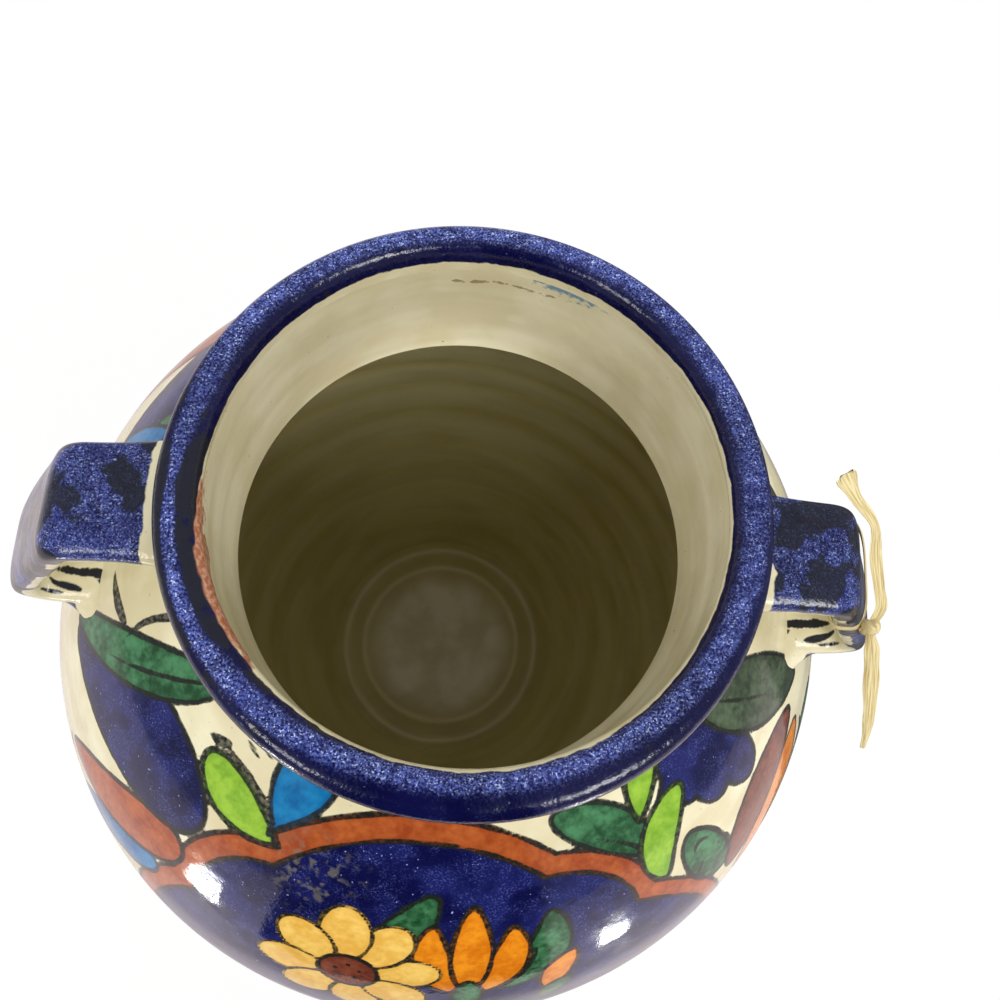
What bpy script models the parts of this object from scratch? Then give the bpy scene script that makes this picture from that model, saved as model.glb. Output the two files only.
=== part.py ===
"""A two-handled, tin-glazed earthenware vase, modelled as the potter's separate pieces.

Sizes are in metres, +Z is up, and the origin is the centre of the circle that the foot stands on.
The body is thrown in two sections and closed by a collar with a rolled lip. Two pulled straps run
from the collar to the shoulder, and a coil of soft clay seals each of their ends. A strip of
raffia is knotted round the right handle.
"""

import math

import bmesh
import bpy
import numpy as np

for old_object in list(bpy.data.objects):
    bpy.data.objects.remove(old_object)

# Fits and fineness
CLEARANCE = 0.0003          # space between two pieces that touch
SEGMENTS = 56               # flats round every turned piece
WELD = 0.00001              # points closer than this are one point

# Foot ring, trimmed separately and left unglazed
FOOT_RADIUS = 0.0985        # outside, where it meets the base
FOOT_TAPER = 0.002          # how far it draws in towards the ground
FOOT_WIDTH = 0.012
FOOT_HEIGHT = 0.006
FOOT_EDGE = 0.0015          # rounding of its two resting edges

# Thrown body
BELLY_RADIUS = 0.189        # outside at the widest line
BELLY_HEIGHT = 0.1924       # height of that line
SHOULDER_RISE = 0.174       # from the widest line to where the shoulder's curve would close
WALL = 0.0095
FLOOR_THICKNESS = 0.009
FLOOR_INSET = 0.0185        # from the foot's outside to where the inside wall starts to climb
FLOOR_RINGS = (0.059, 0.073)
FLOOR_RING_HEIGHT = 0.0012
FLOOR_RING_WIDTH = 0.006
THROWING_PITCH = 0.024      # from one finger ridge inside the wall to the next
THROWING_DEPTH = 0.0010
JOINT_DEPTH = 0.004         # depth of the groove that seats one section on the other

# Collar and lip
MOUTH_RADIUS = 0.0784       # inside of the lip
THROAT_WIDENING = 0.0021    # by which the throat, where the body opens out, is wider than the lip
COLLAR_WALL = 0.0071
COLLAR_HOLLOW = 0.0012      # how much the inside wall bellies out between throat and lip
COLLAR_HEIGHT = 0.0557      # from the shoulder to the middle of the lip
COLLAR_FLARE_WIDTH = 0.0105 # how far the collar's foot spreads where it grows out of the shoulder
COLLAR_FLARE = 0.016        # height of that flare
LIP_OVERHANG = 0.0045       # from the collar's outside to the lip's
LIP_CROWN = 0.007           # lip above its widest line
LIP_DEPTH = 0.0075          # lip below its widest line
LIP_JOINT_DEPTH = 0.0015

# Strap handles
HANDLE_TURNS = {"right": -2.75, "left": 182.75}   # degrees about +Z, as they were set by hand
STRAP_WIDTH = 0.0385
STRAP_THICKNESS = 0.012
STRAP_SQUARENESS = 4.0      # exponent of its rounded oblong section
STRAP_POINTS = 16           # points round that section
STRAP_FLARE = 0.10          # share by which it widens at each root
STRAP_FLARE_LENGTH = 0.016
HANDLE_TOP_REACH = 0.0387   # from the collar to the corner of the upper run
HANDLE_LOW_REACH = 0.0248   # from the shoulder to the corner of the lower run
HANDLE_SPAN = 0.070         # between the middles of the upper and the lower run
HANDLE_BEND = 0.008         # radius of the strap's middle in its two corners
HANDLE_SINK = 0.012         # length of strap that the trimming at each root takes off

# Coils of soft clay round the roots of the straps
LUTE_SPREAD = 0.0065        # how far a coil is smeared out over the wall
LUTE_REACH = 0.0085         # how far it is drawn out along the strap
LUTE_EDGE = 0.0009          # how thick it ends
LUTE_GAP = 0.0020           # between the coil and the underside of the lip
LUTE_RINGS = 4

# Raffia tie
RAFFIA_WIDTH = 0.0060
RAFFIA_THICKNESS = 0.0008
RAFFIA_DROP = 0.012         # along the strap, from the upper bend to the tie
RAFFIA_SKEW = 0.003         # how far the loop leans along the strap, from its middle to its side
KNOT_RADIUS = 0.0032
KNOT_LENGTH = 0.0046
KNOT_TURN = math.radians(140)
# Each tail's points run (outwards, along +Y, up) from the knot's middle
FLARED_TAIL = ((0.0, 0.0, 0.0), (0.0015, 0.006, 0.005), (0.0005, 0.012, 0.009), (-0.0015, 0.021, 0.014),
               (-0.009, 0.029, 0.020), (-0.0175, 0.035, 0.025), (-0.023, 0.041, 0.028))
FLARED_TAIL_WIDTHS = (0.0030, 0.0045, 0.0050, 0.0050, 0.0040, 0.0050, 0.0090)
LONG_TAIL = ((0.0, 0.0, 0.0), (0.0035, -0.007, -0.0015), (0.006, -0.017, -0.004), (0.0085, -0.027, -0.008),
             (0.011, -0.037, -0.0135), (0.0125, -0.046, -0.020))
LONG_TAIL_WIDTHS = (0.0030, 0.0060, 0.0065, 0.0060, 0.0045, 0.0022)


# Sizes worked out from the ones above
floor_height = FOOT_HEIGHT + FLOOR_THICKNESS
floor_radius = FOOT_RADIUS - FLOOR_INSET
throat_radius = MOUTH_RADIUS + THROAT_WIDENING
collar_radius = MOUTH_RADIUS + COLLAR_WALL
collar_base_radius = collar_radius + COLLAR_FLARE_WIDTH
lip_radius = collar_radius + LIP_OVERHANG
shoulder_turn = math.acos(collar_base_radius / BELLY_RADIUS)
collar_base_height = BELLY_HEIGHT + SHOULDER_RISE * math.sin(shoulder_turn)
throat_turn = math.acos(throat_radius / (BELLY_RADIUS - WALL))
throat_height = BELLY_HEIGHT + (SHOULDER_RISE - WALL) * math.sin(throat_turn)
lip_height = collar_base_height + COLLAR_HEIGHT
lip_seat_height = lip_height - LIP_DEPTH
joint_gap = 1.5 * CLEARANCE
upper_run_height = lip_seat_height - LUTE_GAP - LUTE_SPREAD - STRAP_THICKNESS / 2
lower_run_height = upper_run_height - HANDLE_SPAN


def material(name, colour, roughness):
    """Plain finish with one colour and one roughness."""
    finish = bpy.data.materials.new(name)
    finish.use_nodes = True
    shader = finish.node_tree.nodes["Principled BSDF"]
    shader.inputs["Base Color"].default_value = (*colour, 1.0)
    shader.inputs["Roughness"].default_value = roughness
    shader.inputs["Metallic"].default_value = 0.0
    return finish


cream_glaze = material("cream_tin_glaze", (0.78, 0.70, 0.50), 0.12)
olive_glaze = material("olive_inside_glaze", (0.16, 0.13, 0.05), 0.25)
cobalt_glaze = material("cobalt_glaze", (0.012, 0.014, 0.13), 0.10)
bare_clay = material("bare_fired_clay", (0.55, 0.30, 0.18), 0.85)
dry_raffia = material("dry_raffia", (0.70, 0.58, 0.32), 0.65)


def add_object(name, mesh, finish, sharp_angle=40.0):
    """Turn a bmesh into a smooth-shaded object with one material."""
    bmesh.ops.recalc_face_normals(mesh, faces=mesh.faces)
    data = bpy.data.meshes.new(name)
    mesh.to_mesh(data)
    mesh.free()
    data.materials.append(finish)
    data.shade_smooth()
    data.set_sharp_from_angle(angle=math.radians(sharp_angle))
    piece = bpy.data.objects.new(name, data)
    bpy.context.collection.objects.link(piece)
    return piece


def make_cutter(piece):
    """Mark an object that only shapes others."""
    piece.hide_render = True
    piece.display_type = "WIRE"
    return piece


def combine(piece, other, operation):
    """Cut another object out of a piece, or join it on."""
    boolean = piece.modifiers.new(f"{operation.lower()}_{other.name}", "BOOLEAN")
    boolean.object = other
    boolean.operation = operation
    boolean.solver = "EXACT"


def turned(name, outline, finish):
    """Solid of revolution of an outline of (radius, height) points, turned once about +Z.

    An outline that starts and ends on the axis stays open there, any other is closed into a loop.
    """
    mesh = bmesh.new()
    points = [mesh.verts.new((radius, 0.0, height)) for radius, height in outline]
    for start, end in zip(points, points[1:]):
        mesh.edges.new((start, end))
    if outline[0][0] > 0.0:
        mesh.edges.new((points[-1], points[0]))
    bmesh.ops.spin(mesh, geom=mesh.verts[:] + mesh.edges[:], cent=(0, 0, 0), axis=(0, 0, 1),
                   angle=2 * math.pi, steps=SEGMENTS, use_merge=True)
    bmesh.ops.remove_doubles(mesh, verts=mesh.verts, dist=WELD)
    return add_object(name, mesh, finish)


def lofted(name, rings, finish, closed=False):
    """Solid through a list of rings of points, capped at its two ends or joined end to end."""
    mesh = bmesh.new()
    loops = [[mesh.verts.new(point) for point in ring] for ring in rings]
    following = loops[1:] + loops[:1] if closed else loops[1:]
    for loop, next_loop in zip(loops, following):
        count = len(loop)
        for index in range(count):
            after = (index + 1) % count
            mesh.faces.new((loop[index], loop[after], next_loop[after], next_loop[index]))
    if not closed:
        for loop in (loops[0], loops[-1]):
            middle = mesh.verts.new(sum((vert.co for vert in loop), start=loop[0].co * 0) / len(loop))
            for index, vert in enumerate(loop):
                mesh.faces.new((vert, loop[(index + 1) % len(loop)], middle))
    return add_object(name, mesh, finish)


def offset_outline(outline, distance):
    """The outline moved to its right, seen along its run, by the distance, point by point."""
    points = np.array(outline)
    along = np.gradient(points, axis=0)
    along /= np.linalg.norm(along, axis=1)[:, None]
    return points + distance * np.stack((along[:, 1], -along[:, 0]), axis=1)


def with_throwing_rings(outline):
    """Every other point of a wall pushed into it, which leaves the ridges of the thrower's fingers."""
    wave = np.where(np.arange(len(outline)) % 2 == 0, 0.0, THROWING_DEPTH)
    pushed = offset_outline(outline, 1.0) - np.array(outline)
    return np.array(outline) + wave[:, None] * pushed


# Outlines, all from the bottom up

def lower_wall(base_radius, base_height, top_radius, count):
    """Parabola from a base edge out to the widest line, where the wall stands upright."""
    below = np.linspace(1.0, 0.0, count)
    radius = base_radius + (top_radius - base_radius) * (1.0 - below ** 2)
    height = BELLY_HEIGHT - below * (BELLY_HEIGHT - base_height)
    return np.stack((radius, height), axis=1)


def upper_wall(radius, rise, turn, count):
    """Arc of an ellipse from the widest line up over the shoulder."""
    angle = np.linspace(0.0, turn, count)
    return np.stack((radius * np.cos(angle), BELLY_HEIGHT + rise * np.sin(angle)), axis=1)


def ring_count(radius_low, radius_high, height_low, height_high):
    """Odd number of points that sets ridge and hollow half a pitch apart along a wall."""
    length = math.hypot(radius_high - radius_low, height_high - height_low) * 1.1
    return 2 * max(2, round(length / THROWING_PITCH)) + 1


def groove(outer, inner, depth, lift=0.0):
    """Three points across a wall's edge, outside to inside, the middle one sunk by the depth."""
    middle_radius = (outer[0] + inner[0]) / 2
    middle_height = (outer[1] + inner[1]) / 2 - depth
    return [(outer[0], outer[1] + lift), (middle_radius, middle_height + lift), (inner[0], inner[1] + lift)]


belly_outside = (BELLY_RADIUS, BELLY_HEIGHT)
belly_inside = (BELLY_RADIUS - WALL, BELLY_HEIGHT)
collar_outside = (collar_base_radius, collar_base_height)
throat = (throat_radius, throat_height)
lip_seat_outside = (collar_radius, lip_seat_height)
lip_seat_inside = (MOUTH_RADIUS, lip_seat_height)

shoulder_outside = upper_wall(BELLY_RADIUS, SHOULDER_RISE, shoulder_turn, 13)


def collar_wall():
    """Outside of the collar: a flare that leaves along the shoulder's slope, then an upright wall."""
    slope = BELLY_RADIUS * math.sin(shoulder_turn) / (SHOULDER_RISE * math.cos(shoulder_turn))
    start = np.array(collar_outside)
    bend = np.array((collar_radius, collar_base_height + (collar_base_radius - collar_radius) / slope))
    end = np.array((collar_radius, collar_base_height + COLLAR_FLARE))
    share = np.linspace(0.0, 1.0, 6)[:, None]
    flare = (1 - share) ** 2 * start + 2 * share * (1 - share) * bend + share ** 2 * end
    return np.vstack((flare, [lip_seat_outside]))


collar_outline = collar_wall()


def make_foot_ring():
    top = FOOT_HEIGHT - CLEARANCE
    inside = FOOT_RADIUS - FOOT_WIDTH
    low_outside = FOOT_RADIUS - FOOT_TAPER
    outline = [(FOOT_RADIUS, top), (low_outside, FOOT_EDGE), (low_outside - FOOT_EDGE, 0.0),
               (inside + FOOT_EDGE, 0.0), (inside, FOOT_EDGE), (inside, top)]
    return turned("foot_ring", outline, bare_clay)


def floor_outline():
    """Inside floor from its middle outwards, with the low ridges that the thrower left in it."""
    points = [(0.0, floor_height)]
    for radius in FLOOR_RINGS:
        points.append((radius - FLOOR_RING_WIDTH / 2, floor_height))
        points.append((radius, floor_height + FLOOR_RING_HEIGHT))
        points.append((radius + FLOOR_RING_WIDTH / 2, floor_height))
    return points


def make_body_lower():
    outside = lower_wall(FOOT_RADIUS, FOOT_HEIGHT, BELLY_RADIUS, 11)
    count = ring_count(floor_radius, belly_inside[0], floor_height, BELLY_HEIGHT)
    inside = lower_wall(floor_radius, floor_height, belly_inside[0], count)
    ridged = with_throwing_rings(inside)
    outline = [(0.0, FOOT_HEIGHT), *outside[:-1], *groove(belly_outside, belly_inside, JOINT_DEPTH)]
    outline += [*ridged[-2:0:-1], (floor_radius, floor_height), *floor_outline()[::-1]]
    return turned("body_lower", outline, cream_glaze)


def make_body_shoulder():
    count = ring_count(throat_radius, belly_inside[0], BELLY_HEIGHT, throat_height)
    inside = upper_wall(belly_inside[0], SHOULDER_RISE - WALL, throat_turn, count)
    ridged = with_throwing_rings(inside)
    bottom = groove(belly_outside, belly_inside, JOINT_DEPTH, lift=joint_gap)
    top = groove(collar_outside, throat, JOINT_DEPTH)
    outline = [*bottom[::-1], *shoulder_outside[1:-1], *top, *ridged[-2:0:-1]]
    return turned("body_shoulder", outline, cream_glaze)


def make_neck_collar():
    share = np.linspace(0.0, 1.0, 5)[1:-1]
    inside_radius = throat_radius + (MOUTH_RADIUS - throat_radius) * share
    inside_radius = inside_radius + COLLAR_HOLLOW * np.sin(math.pi * share)
    inside_height = throat_height + (lip_seat_height - throat_height) * share
    inside = np.stack((inside_radius, inside_height), axis=1)
    bottom = groove(collar_outside, throat, JOINT_DEPTH, lift=joint_gap)
    top = groove(lip_seat_outside, lip_seat_inside, LIP_JOINT_DEPTH)
    outline = [*bottom[::-1], *collar_outline[1:-1], *top, *inside[::-1]]
    return turned("neck_collar", outline, cream_glaze)


def make_rim_roll():
    """Rolled lip: a quarter ellipse under its overhang and half an ellipse over its crown."""
    bottom = groove(lip_seat_outside, lip_seat_inside, LIP_JOINT_DEPTH, lift=joint_gap)
    under = np.linspace(math.pi / 2, 0.0, 5)[1:]
    over = np.linspace(0.0, math.pi, 9)[1:]
    middle = (lip_radius + MOUTH_RADIUS) / 2
    half_width = (lip_radius - MOUTH_RADIUS) / 2
    overhang = [(collar_radius + (lip_radius - collar_radius) * math.cos(angle),
                 lip_height - (LIP_DEPTH - joint_gap) * math.sin(angle)) for angle in under]
    crown = [(middle + half_width * math.cos(angle), lip_height + LIP_CROWN * math.sin(angle))
             for angle in over]
    outline = [*bottom[::-1], *overhang, *crown]
    return turned("rim_roll", outline, cobalt_glaze)


# Strap handles

wall_outline = np.vstack((shoulder_outside, collar_outline[1:]))


def wall_radius(height):
    """Outside radius of the shoulder and collar at a height."""
    return np.interp(height, wall_outline[:, 1], wall_outline[:, 0])


def rounded_route(corners, bend):
    """Points along straight runs through the corners, each inner corner rounded to the bend radius."""
    corners = [np.array(corner) for corner in corners]
    route = [corners[0]]
    for before, corner, after in zip(corners, corners[1:], corners[2:]):
        inward = (corner - before) / np.linalg.norm(corner - before)
        outward = (after - corner) / np.linalg.norm(after - corner)
        turn = math.acos(float(inward @ outward))
        start = corner - inward * bend * math.tan(turn / 2)
        side = np.array((inward[1], -inward[0]))
        for angle in np.linspace(0.0, turn, max(3, round(turn / 0.35)) + 1):
            route.append(start + bend * (math.sin(angle) * inward + (1 - math.cos(angle)) * side))
    route.append(corners[-1])
    return np.array(route)


upper_corner = (collar_radius + HANDLE_TOP_REACH, upper_run_height)
lower_corner = (float(wall_radius(lower_run_height)) + HANDLE_LOW_REACH, lower_run_height)
strap_route = rounded_route([(collar_radius - HANDLE_SINK, upper_run_height), upper_corner, lower_corner,
                             (float(wall_radius(lower_run_height)) - HANDLE_SINK, lower_run_height)],
                            HANDLE_BEND)
route_steps = np.linalg.norm(np.diff(strap_route, axis=0), axis=1)
route_distance = np.concatenate(([0.0], np.cumsum(route_steps)))
route_length = float(route_distance[-1])
step_heading = np.unwrap(np.arctan2(np.diff(strap_route[:, 1]), np.diff(strap_route[:, 0])))
route_heading = np.concatenate((step_heading[:1], (step_heading[1:] + step_heading[:-1]) / 2,
                                step_heading[-1:]))


def strap_ring(distance, turns, grow):
    """Points of the strap's section at distances along its route, grown outwards all round.

    The section is a rounded oblong: each half axis times a power of the turn's cosine or sine. It
    stands square to the route, and widens towards both roots.
    """
    distance = np.broadcast_to(distance, np.shape(turns))
    to_root = np.minimum(distance, route_length - distance) - HANDLE_SINK
    flare = 1.0 + STRAP_FLARE * np.exp(-(np.maximum(to_root, 0.0) / STRAP_FLARE_LENGTH) ** 2)
    power = 2.0 / STRAP_SQUARENESS
    across = np.sign(np.cos(turns)) * np.abs(np.cos(turns)) ** power
    through = np.sign(np.sin(turns)) * np.abs(np.sin(turns)) ** power
    across = across * (STRAP_WIDTH / 2 * flare + grow)
    through = through * (STRAP_THICKNESS / 2 + grow)
    heading = np.interp(distance, route_distance, route_heading)
    radius = np.interp(distance, route_distance, strap_route[:, 0]) - through * np.sin(heading)
    height = np.interp(distance, route_distance, strap_route[:, 1]) + through * np.cos(heading)
    return np.stack((radius, across, height), axis=1)


strap_turns = (np.arange(STRAP_POINTS) + 0.5) * 2 * math.pi / STRAP_POINTS


def make_strap(name, side, grow, finish):
    """One strap along the whole route, still running into the wall at both ends."""
    root_steps = np.linspace(HANDLE_SINK, HANDLE_SINK + STRAP_FLARE_LENGTH, 3)
    stops = np.concatenate((route_distance, root_steps, route_length - root_steps))
    rings = [strap_ring(stop, strap_turns, grow) for stop in np.unique(stops.round(6))]
    strap = lofted(name, rings, finish)
    strap.rotation_euler.z = math.radians(HANDLE_TURNS[side])
    return strap


def make_wall_cutter():
    """Everything inside the vase's outer wall, grown by the clearance."""
    grown = offset_outline(wall_outline, CLEARANCE)
    outline = [(0.0, grown[0][1]), *grown, (0.0, grown[-1][1])]
    return make_cutter(turned("wall_cutter", outline, cream_glaze))


wall_cutter = make_wall_cutter()


def make_handle(side):
    handle = make_strap(f"handle_{side}", side, 0.0, cobalt_glaze)
    combine(handle, wall_cutter, "DIFFERENCE")
    return handle


# Coils of clay round the roots of the straps

def root_distance(turns, grow, from_end):
    """Distance from a root's end of the route at which each line along the strap leaves the wall."""
    tries = np.linspace(0.0, route_length / 2, 400)
    leaves = []
    for turn in turns:
        along = route_length - tries if from_end else tries
        radius, across, height = strap_ring(along, np.full(len(tries), turn), grow).T
        outside = np.hypot(radius, across) > wall_radius(height)
        leaves.append(tries[int(np.argmax(outside))])
    return np.array(leaves)


def make_lute(name, side, from_end, strap_cutter):
    """Hollow fillet: its rings climb from the wall along the strap while they close in on it."""
    rings = []
    climb = [-HANDLE_SINK / 2] + [LUTE_REACH * step / LUTE_RINGS for step in range(LUTE_RINGS + 1)]
    for rise in climb:
        share = 1.0 - max(rise, 0.0) / LUTE_REACH
        grow = LUTE_EDGE + (LUTE_SPREAD - LUTE_EDGE) * share ** 2
        along = root_distance(strap_turns, grow, from_end) + rise
        rings.append(strap_ring(route_length - along if from_end else along, strap_turns, grow))
    lute = lofted(name, rings, cream_glaze)
    lute.rotation_euler.z = math.radians(HANDLE_TURNS[side])
    combine(lute, wall_cutter, "DIFFERENCE")
    combine(lute, strap_cutter, "DIFFERENCE")
    return lute


# Raffia tie

def smooth_through(points, per_span):
    """Catmull-Rom curve: between two points it runs parallel to the line through their neighbours."""
    points = np.array(points)
    padded = np.vstack((2 * points[0] - points[1], points, 2 * points[-1] - points[-2]))
    share = np.linspace(0.0, 1.0, per_span, endpoint=False)[:, None]
    spans = []
    for before, start, end, after in zip(padded, padded[1:], padded[2:], padded[3:]):
        spans.append(0.5 * (2 * start + (end - before) * share
                            + (2 * before - 5 * start + 4 * end - after) * share ** 2
                            + (3 * start - before - 3 * end + after) * share ** 3))
    return np.vstack(spans + [points[-1:]])


def make_ribbon(name, points, widths, side):
    """Flat strip along a smooth curve, level across its width."""
    per_span = 2
    middle = smooth_through(points, per_span)
    width = np.interp(np.linspace(0, 1, len(middle)), np.linspace(0, 1, len(widths)), widths)
    along = np.gradient(middle, axis=0)
    level = np.cross(along, (0.0, 0.0, 1.0))
    level /= np.linalg.norm(level, axis=1)[:, None]
    upward = np.cross(level, along)
    upward /= np.linalg.norm(upward, axis=1)[:, None]
    across = level * width[:, None] / 2
    through = upward * RAFFIA_THICKNESS / 2
    corners = (middle - across - through, middle + across - through,
               middle + across + through, middle - across + through)
    ribbon = lofted(name, np.stack(corners, axis=1), dry_raffia)
    ribbon.rotation_euler.z = math.radians(HANDLE_TURNS[side])
    return ribbon


def make_raffia_tie(side):
    """Loop round the strap below its upper bend, with a knot on its front edge and two loose tails."""
    corner = np.array(upper_corner)
    fall = np.array(lower_corner) - corner
    turn = -math.atan2(fall[1], fall[0])
    bend_end = float(np.linalg.norm(corner - strap_route[0])) - HANDLE_BEND * math.tan(turn / 2)
    middle = bend_end + HANDLE_BEND * turn + RAFFIA_DROP
    turns = strap_turns
    lean = middle + RAFFIA_SKEW * np.sign(np.cos(turns)) * np.abs(np.cos(turns)) ** (2 / STRAP_SQUARENESS)
    loops = []
    for shift, grow in ((-0.5, 0.0), (0.5, 0.0), (0.5, RAFFIA_THICKNESS), (-0.5, RAFFIA_THICKNESS)):
        loops.append(strap_ring(lean + shift * RAFFIA_WIDTH, turns, CLEARANCE + grow))
    tie = lofted("raffia_tie", np.stack(loops, axis=1), dry_raffia, closed=True)
    tie.rotation_euler.z = math.radians(HANDLE_TURNS[side])

    knot_middle = strap_ring(middle - RAFFIA_SKEW, np.array([KNOT_TURN]), CLEARANCE + KNOT_RADIUS)[0]
    knot_mesh = bmesh.new()
    bmesh.ops.create_uvsphere(knot_mesh, u_segments=10, v_segments=6, radius=KNOT_RADIUS)
    bmesh.ops.scale(knot_mesh, vec=(1.0, 1.0, KNOT_LENGTH / KNOT_RADIUS), verts=knot_mesh.verts)
    bmesh.ops.translate(knot_mesh, vec=knot_middle, verts=knot_mesh.verts)
    knot = make_cutter(add_object("raffia_knot", knot_mesh, dry_raffia))
    knot.rotation_euler.z = math.radians(HANDLE_TURNS[side])

    flared = make_cutter(make_ribbon("raffia_flared_tail", knot_middle + np.array(FLARED_TAIL),
                                     FLARED_TAIL_WIDTHS, side))
    long = make_cutter(make_ribbon("raffia_long_tail", knot_middle + np.array(LONG_TAIL),
                                   LONG_TAIL_WIDTHS, side))
    for other in (knot, flared, long):
        combine(tie, other, "UNION")
    return tie


make_foot_ring()
make_body_lower()
make_body_shoulder()
make_neck_collar()
make_rim_roll()
for handle_side in HANDLE_TURNS:
    make_handle(handle_side)
    cutter = make_cutter(make_strap(f"strap_cutter_{handle_side}", handle_side, CLEARANCE, cobalt_glaze))
    make_lute(f"lute_{handle_side}_neck", handle_side, False, cutter)
    make_lute(f"lute_{handle_side}_shoulder", handle_side, True, cutter)
make_raffia_tie("right")
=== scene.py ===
"""Looks of a two-handled, tin-glazed vase with painted flowers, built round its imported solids.

The vase is dressed from the ground up: foot, painted wall, inside wall, rolled lip, strap handles
with their roots, and the raffia strip on the right handle. Metres, +Z up, -Y towards the front.
"""
import math

import bpy
import numpy as np
from mathutils import Matrix, Vector


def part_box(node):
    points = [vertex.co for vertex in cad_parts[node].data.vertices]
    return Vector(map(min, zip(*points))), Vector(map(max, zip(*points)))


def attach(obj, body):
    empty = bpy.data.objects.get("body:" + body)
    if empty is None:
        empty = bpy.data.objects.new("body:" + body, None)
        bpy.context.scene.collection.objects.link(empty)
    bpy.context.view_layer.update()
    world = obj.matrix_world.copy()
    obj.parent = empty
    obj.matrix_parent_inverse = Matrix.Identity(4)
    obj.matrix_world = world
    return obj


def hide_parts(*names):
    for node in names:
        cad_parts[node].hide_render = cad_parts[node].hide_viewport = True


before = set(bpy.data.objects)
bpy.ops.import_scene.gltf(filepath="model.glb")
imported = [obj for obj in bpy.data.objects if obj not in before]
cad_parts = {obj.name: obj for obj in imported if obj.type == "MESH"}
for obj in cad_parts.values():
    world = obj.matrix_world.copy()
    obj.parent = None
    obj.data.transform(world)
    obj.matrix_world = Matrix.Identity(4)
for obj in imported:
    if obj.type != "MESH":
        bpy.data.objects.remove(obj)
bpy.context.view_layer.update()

# View and light
# The photograph looks steeply down over the lip from just left of the front, through a wide phone
# lens. The vase stands on a pale floor in soft white light, with a window high on either side, two
# small low lamps for the bright patches on its shoulder, and dim surroundings in its reflections.

LIP_CROWN = 0.007                                  # rise of the lip over its widest line
LIP_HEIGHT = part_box("rim_roll")[1][2] - LIP_CROWN
CAMERA_PLACE = Vector((-0.0101, -0.0679, LIP_HEIGHT + 0.2093))
CAMERA_TURN = math.radians(-14.75)
CAMERA_TILT = math.radians(18.16)                  # away from straight down
CAMERA_ROLL = math.radians(18.79)
LENS_MM = 27.0
SENSOR_MM = 36.0

camera_data = bpy.data.cameras.new("camera")
camera_data.lens = LENS_MM
camera_data.sensor_width = SENSOR_MM
camera_data.clip_start = 0.01
camera = bpy.data.objects.new("camera", camera_data)
camera.matrix_world = (Matrix.Translation(CAMERA_PLACE) @ Matrix.Rotation(CAMERA_TURN, 4, "Z")
                       @ Matrix.Rotation(CAMERA_TILT, 4, "X") @ Matrix.Rotation(CAMERA_ROLL, 4, "Z"))
bpy.context.collection.objects.link(camera)
bpy.context.scene.camera = camera
bpy.context.scene.view_settings.view_transform = "Standard"


def linear(code):
    """An sRGB hex colour as linear red, green, blue and alpha."""
    srgb = np.array([int(code[index:index + 2], 16) for index in (1, 3, 5)]) / 255
    return (*np.where(srgb <= 0.04045, srgb / 12.92, ((srgb + 0.055) / 1.055) ** 2.4), 1.0)


def add_node(tree, kind, settings=None, **inputs):
    """Add a node; settings are its properties, and inputs go to sockets as hex colours, values or links."""
    node = tree.nodes.new("ShaderNode" + kind)
    for name, value in (settings or {}).items():
        setattr(node, name, value)
    for name, value in inputs.items():
        key = int(name[1:]) if name[0] == "i" and name[1:].isdigit() else name.replace("_", " ")
        if isinstance(value, bpy.types.NodeSocket):
            tree.links.new(value, node.inputs[key])
        else:
            node.inputs[key].default_value = linear(value) if isinstance(value, str) else value
    return node


def new_finish(name):
    """Empty material and its node tree."""
    finish = bpy.data.materials.new(name)
    finish.use_nodes = True
    finish.node_tree.nodes.clear()
    return finish, finish.node_tree


def calculate(operation, first, second):
    """Result of one sum on a link and a number or another link."""
    return add_node(first.id_data, "Math", {"operation": operation}, i0=first, i1=second).outputs[0]


def seen_apart(tree, share, plain, seen):
    """Two surfaces mixed so that the camera sees a share of the second, and all else only the first."""
    factor = calculate("MULTIPLY", add_node(tree, "LightPath").outputs["Is Camera Ray"], share)
    return add_node(tree, "MixShader", i0=factor, i1=plain.outputs[0], i2=seen.outputs[0]).outputs[0]


def add_lamp(name, place, aim, size, watts, spread=180):
    """Square area lamp at a place, turned to face a point, that the camera doesn't see."""
    lamp_data = bpy.data.lights.new(name, "AREA")
    lamp_data.shape = "RECTANGLE"
    lamp_data.size, lamp_data.size_y = size
    lamp_data.energy = watts
    lamp_data.spread = math.radians(spread)
    lamp = bpy.data.objects.new(name, lamp_data)
    lamp.location = place
    lamp.rotation_euler = (Vector(aim) - Vector(place)).to_track_quat("-Z", "Y").to_euler()
    lamp.visible_camera = False
    bpy.context.collection.objects.link(lamp)


add_lamp("window_front_right", (0.58, -0.72, 1.18), (0.03, -0.03, 0.4), (0.3, 0.42), 5.8)
add_lamp("window_front_left", (-0.6, -0.75, 1.06), (-0.05, -0.07, 0.4), (0.24, 0.34), 2.6)
add_lamp("patch_lamp_left", (-0.374, -0.47, 0.085), (-0.084, -0.124, 0.299), (0.06, 0.08), 0.35)
add_lamp("patch_lamp_right", (0.277, -0.438, 0.094), (0.068, -0.135, 0.296), (0.04, 0.07), 0.25)
# Daylight that falls through the mouth onto the far wall inside
add_lamp("daylight_in_mouth", (-0.01, -0.045, 0.4), (-0.02, 0.15, 0.215), (0.03, 0.03), 0.016, spread=56)


def add_sheet(name, corners, finish, faces=((0, 1, 2, 3),)):
    """Object of flat faces."""
    mesh = bpy.data.meshes.new(name)
    mesh.from_pydata(corners, [], faces)
    mesh.materials.append(finish)
    sheet = bpy.data.objects.new(name, mesh)
    bpy.context.collection.objects.link(sheet)
    return sheet


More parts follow.
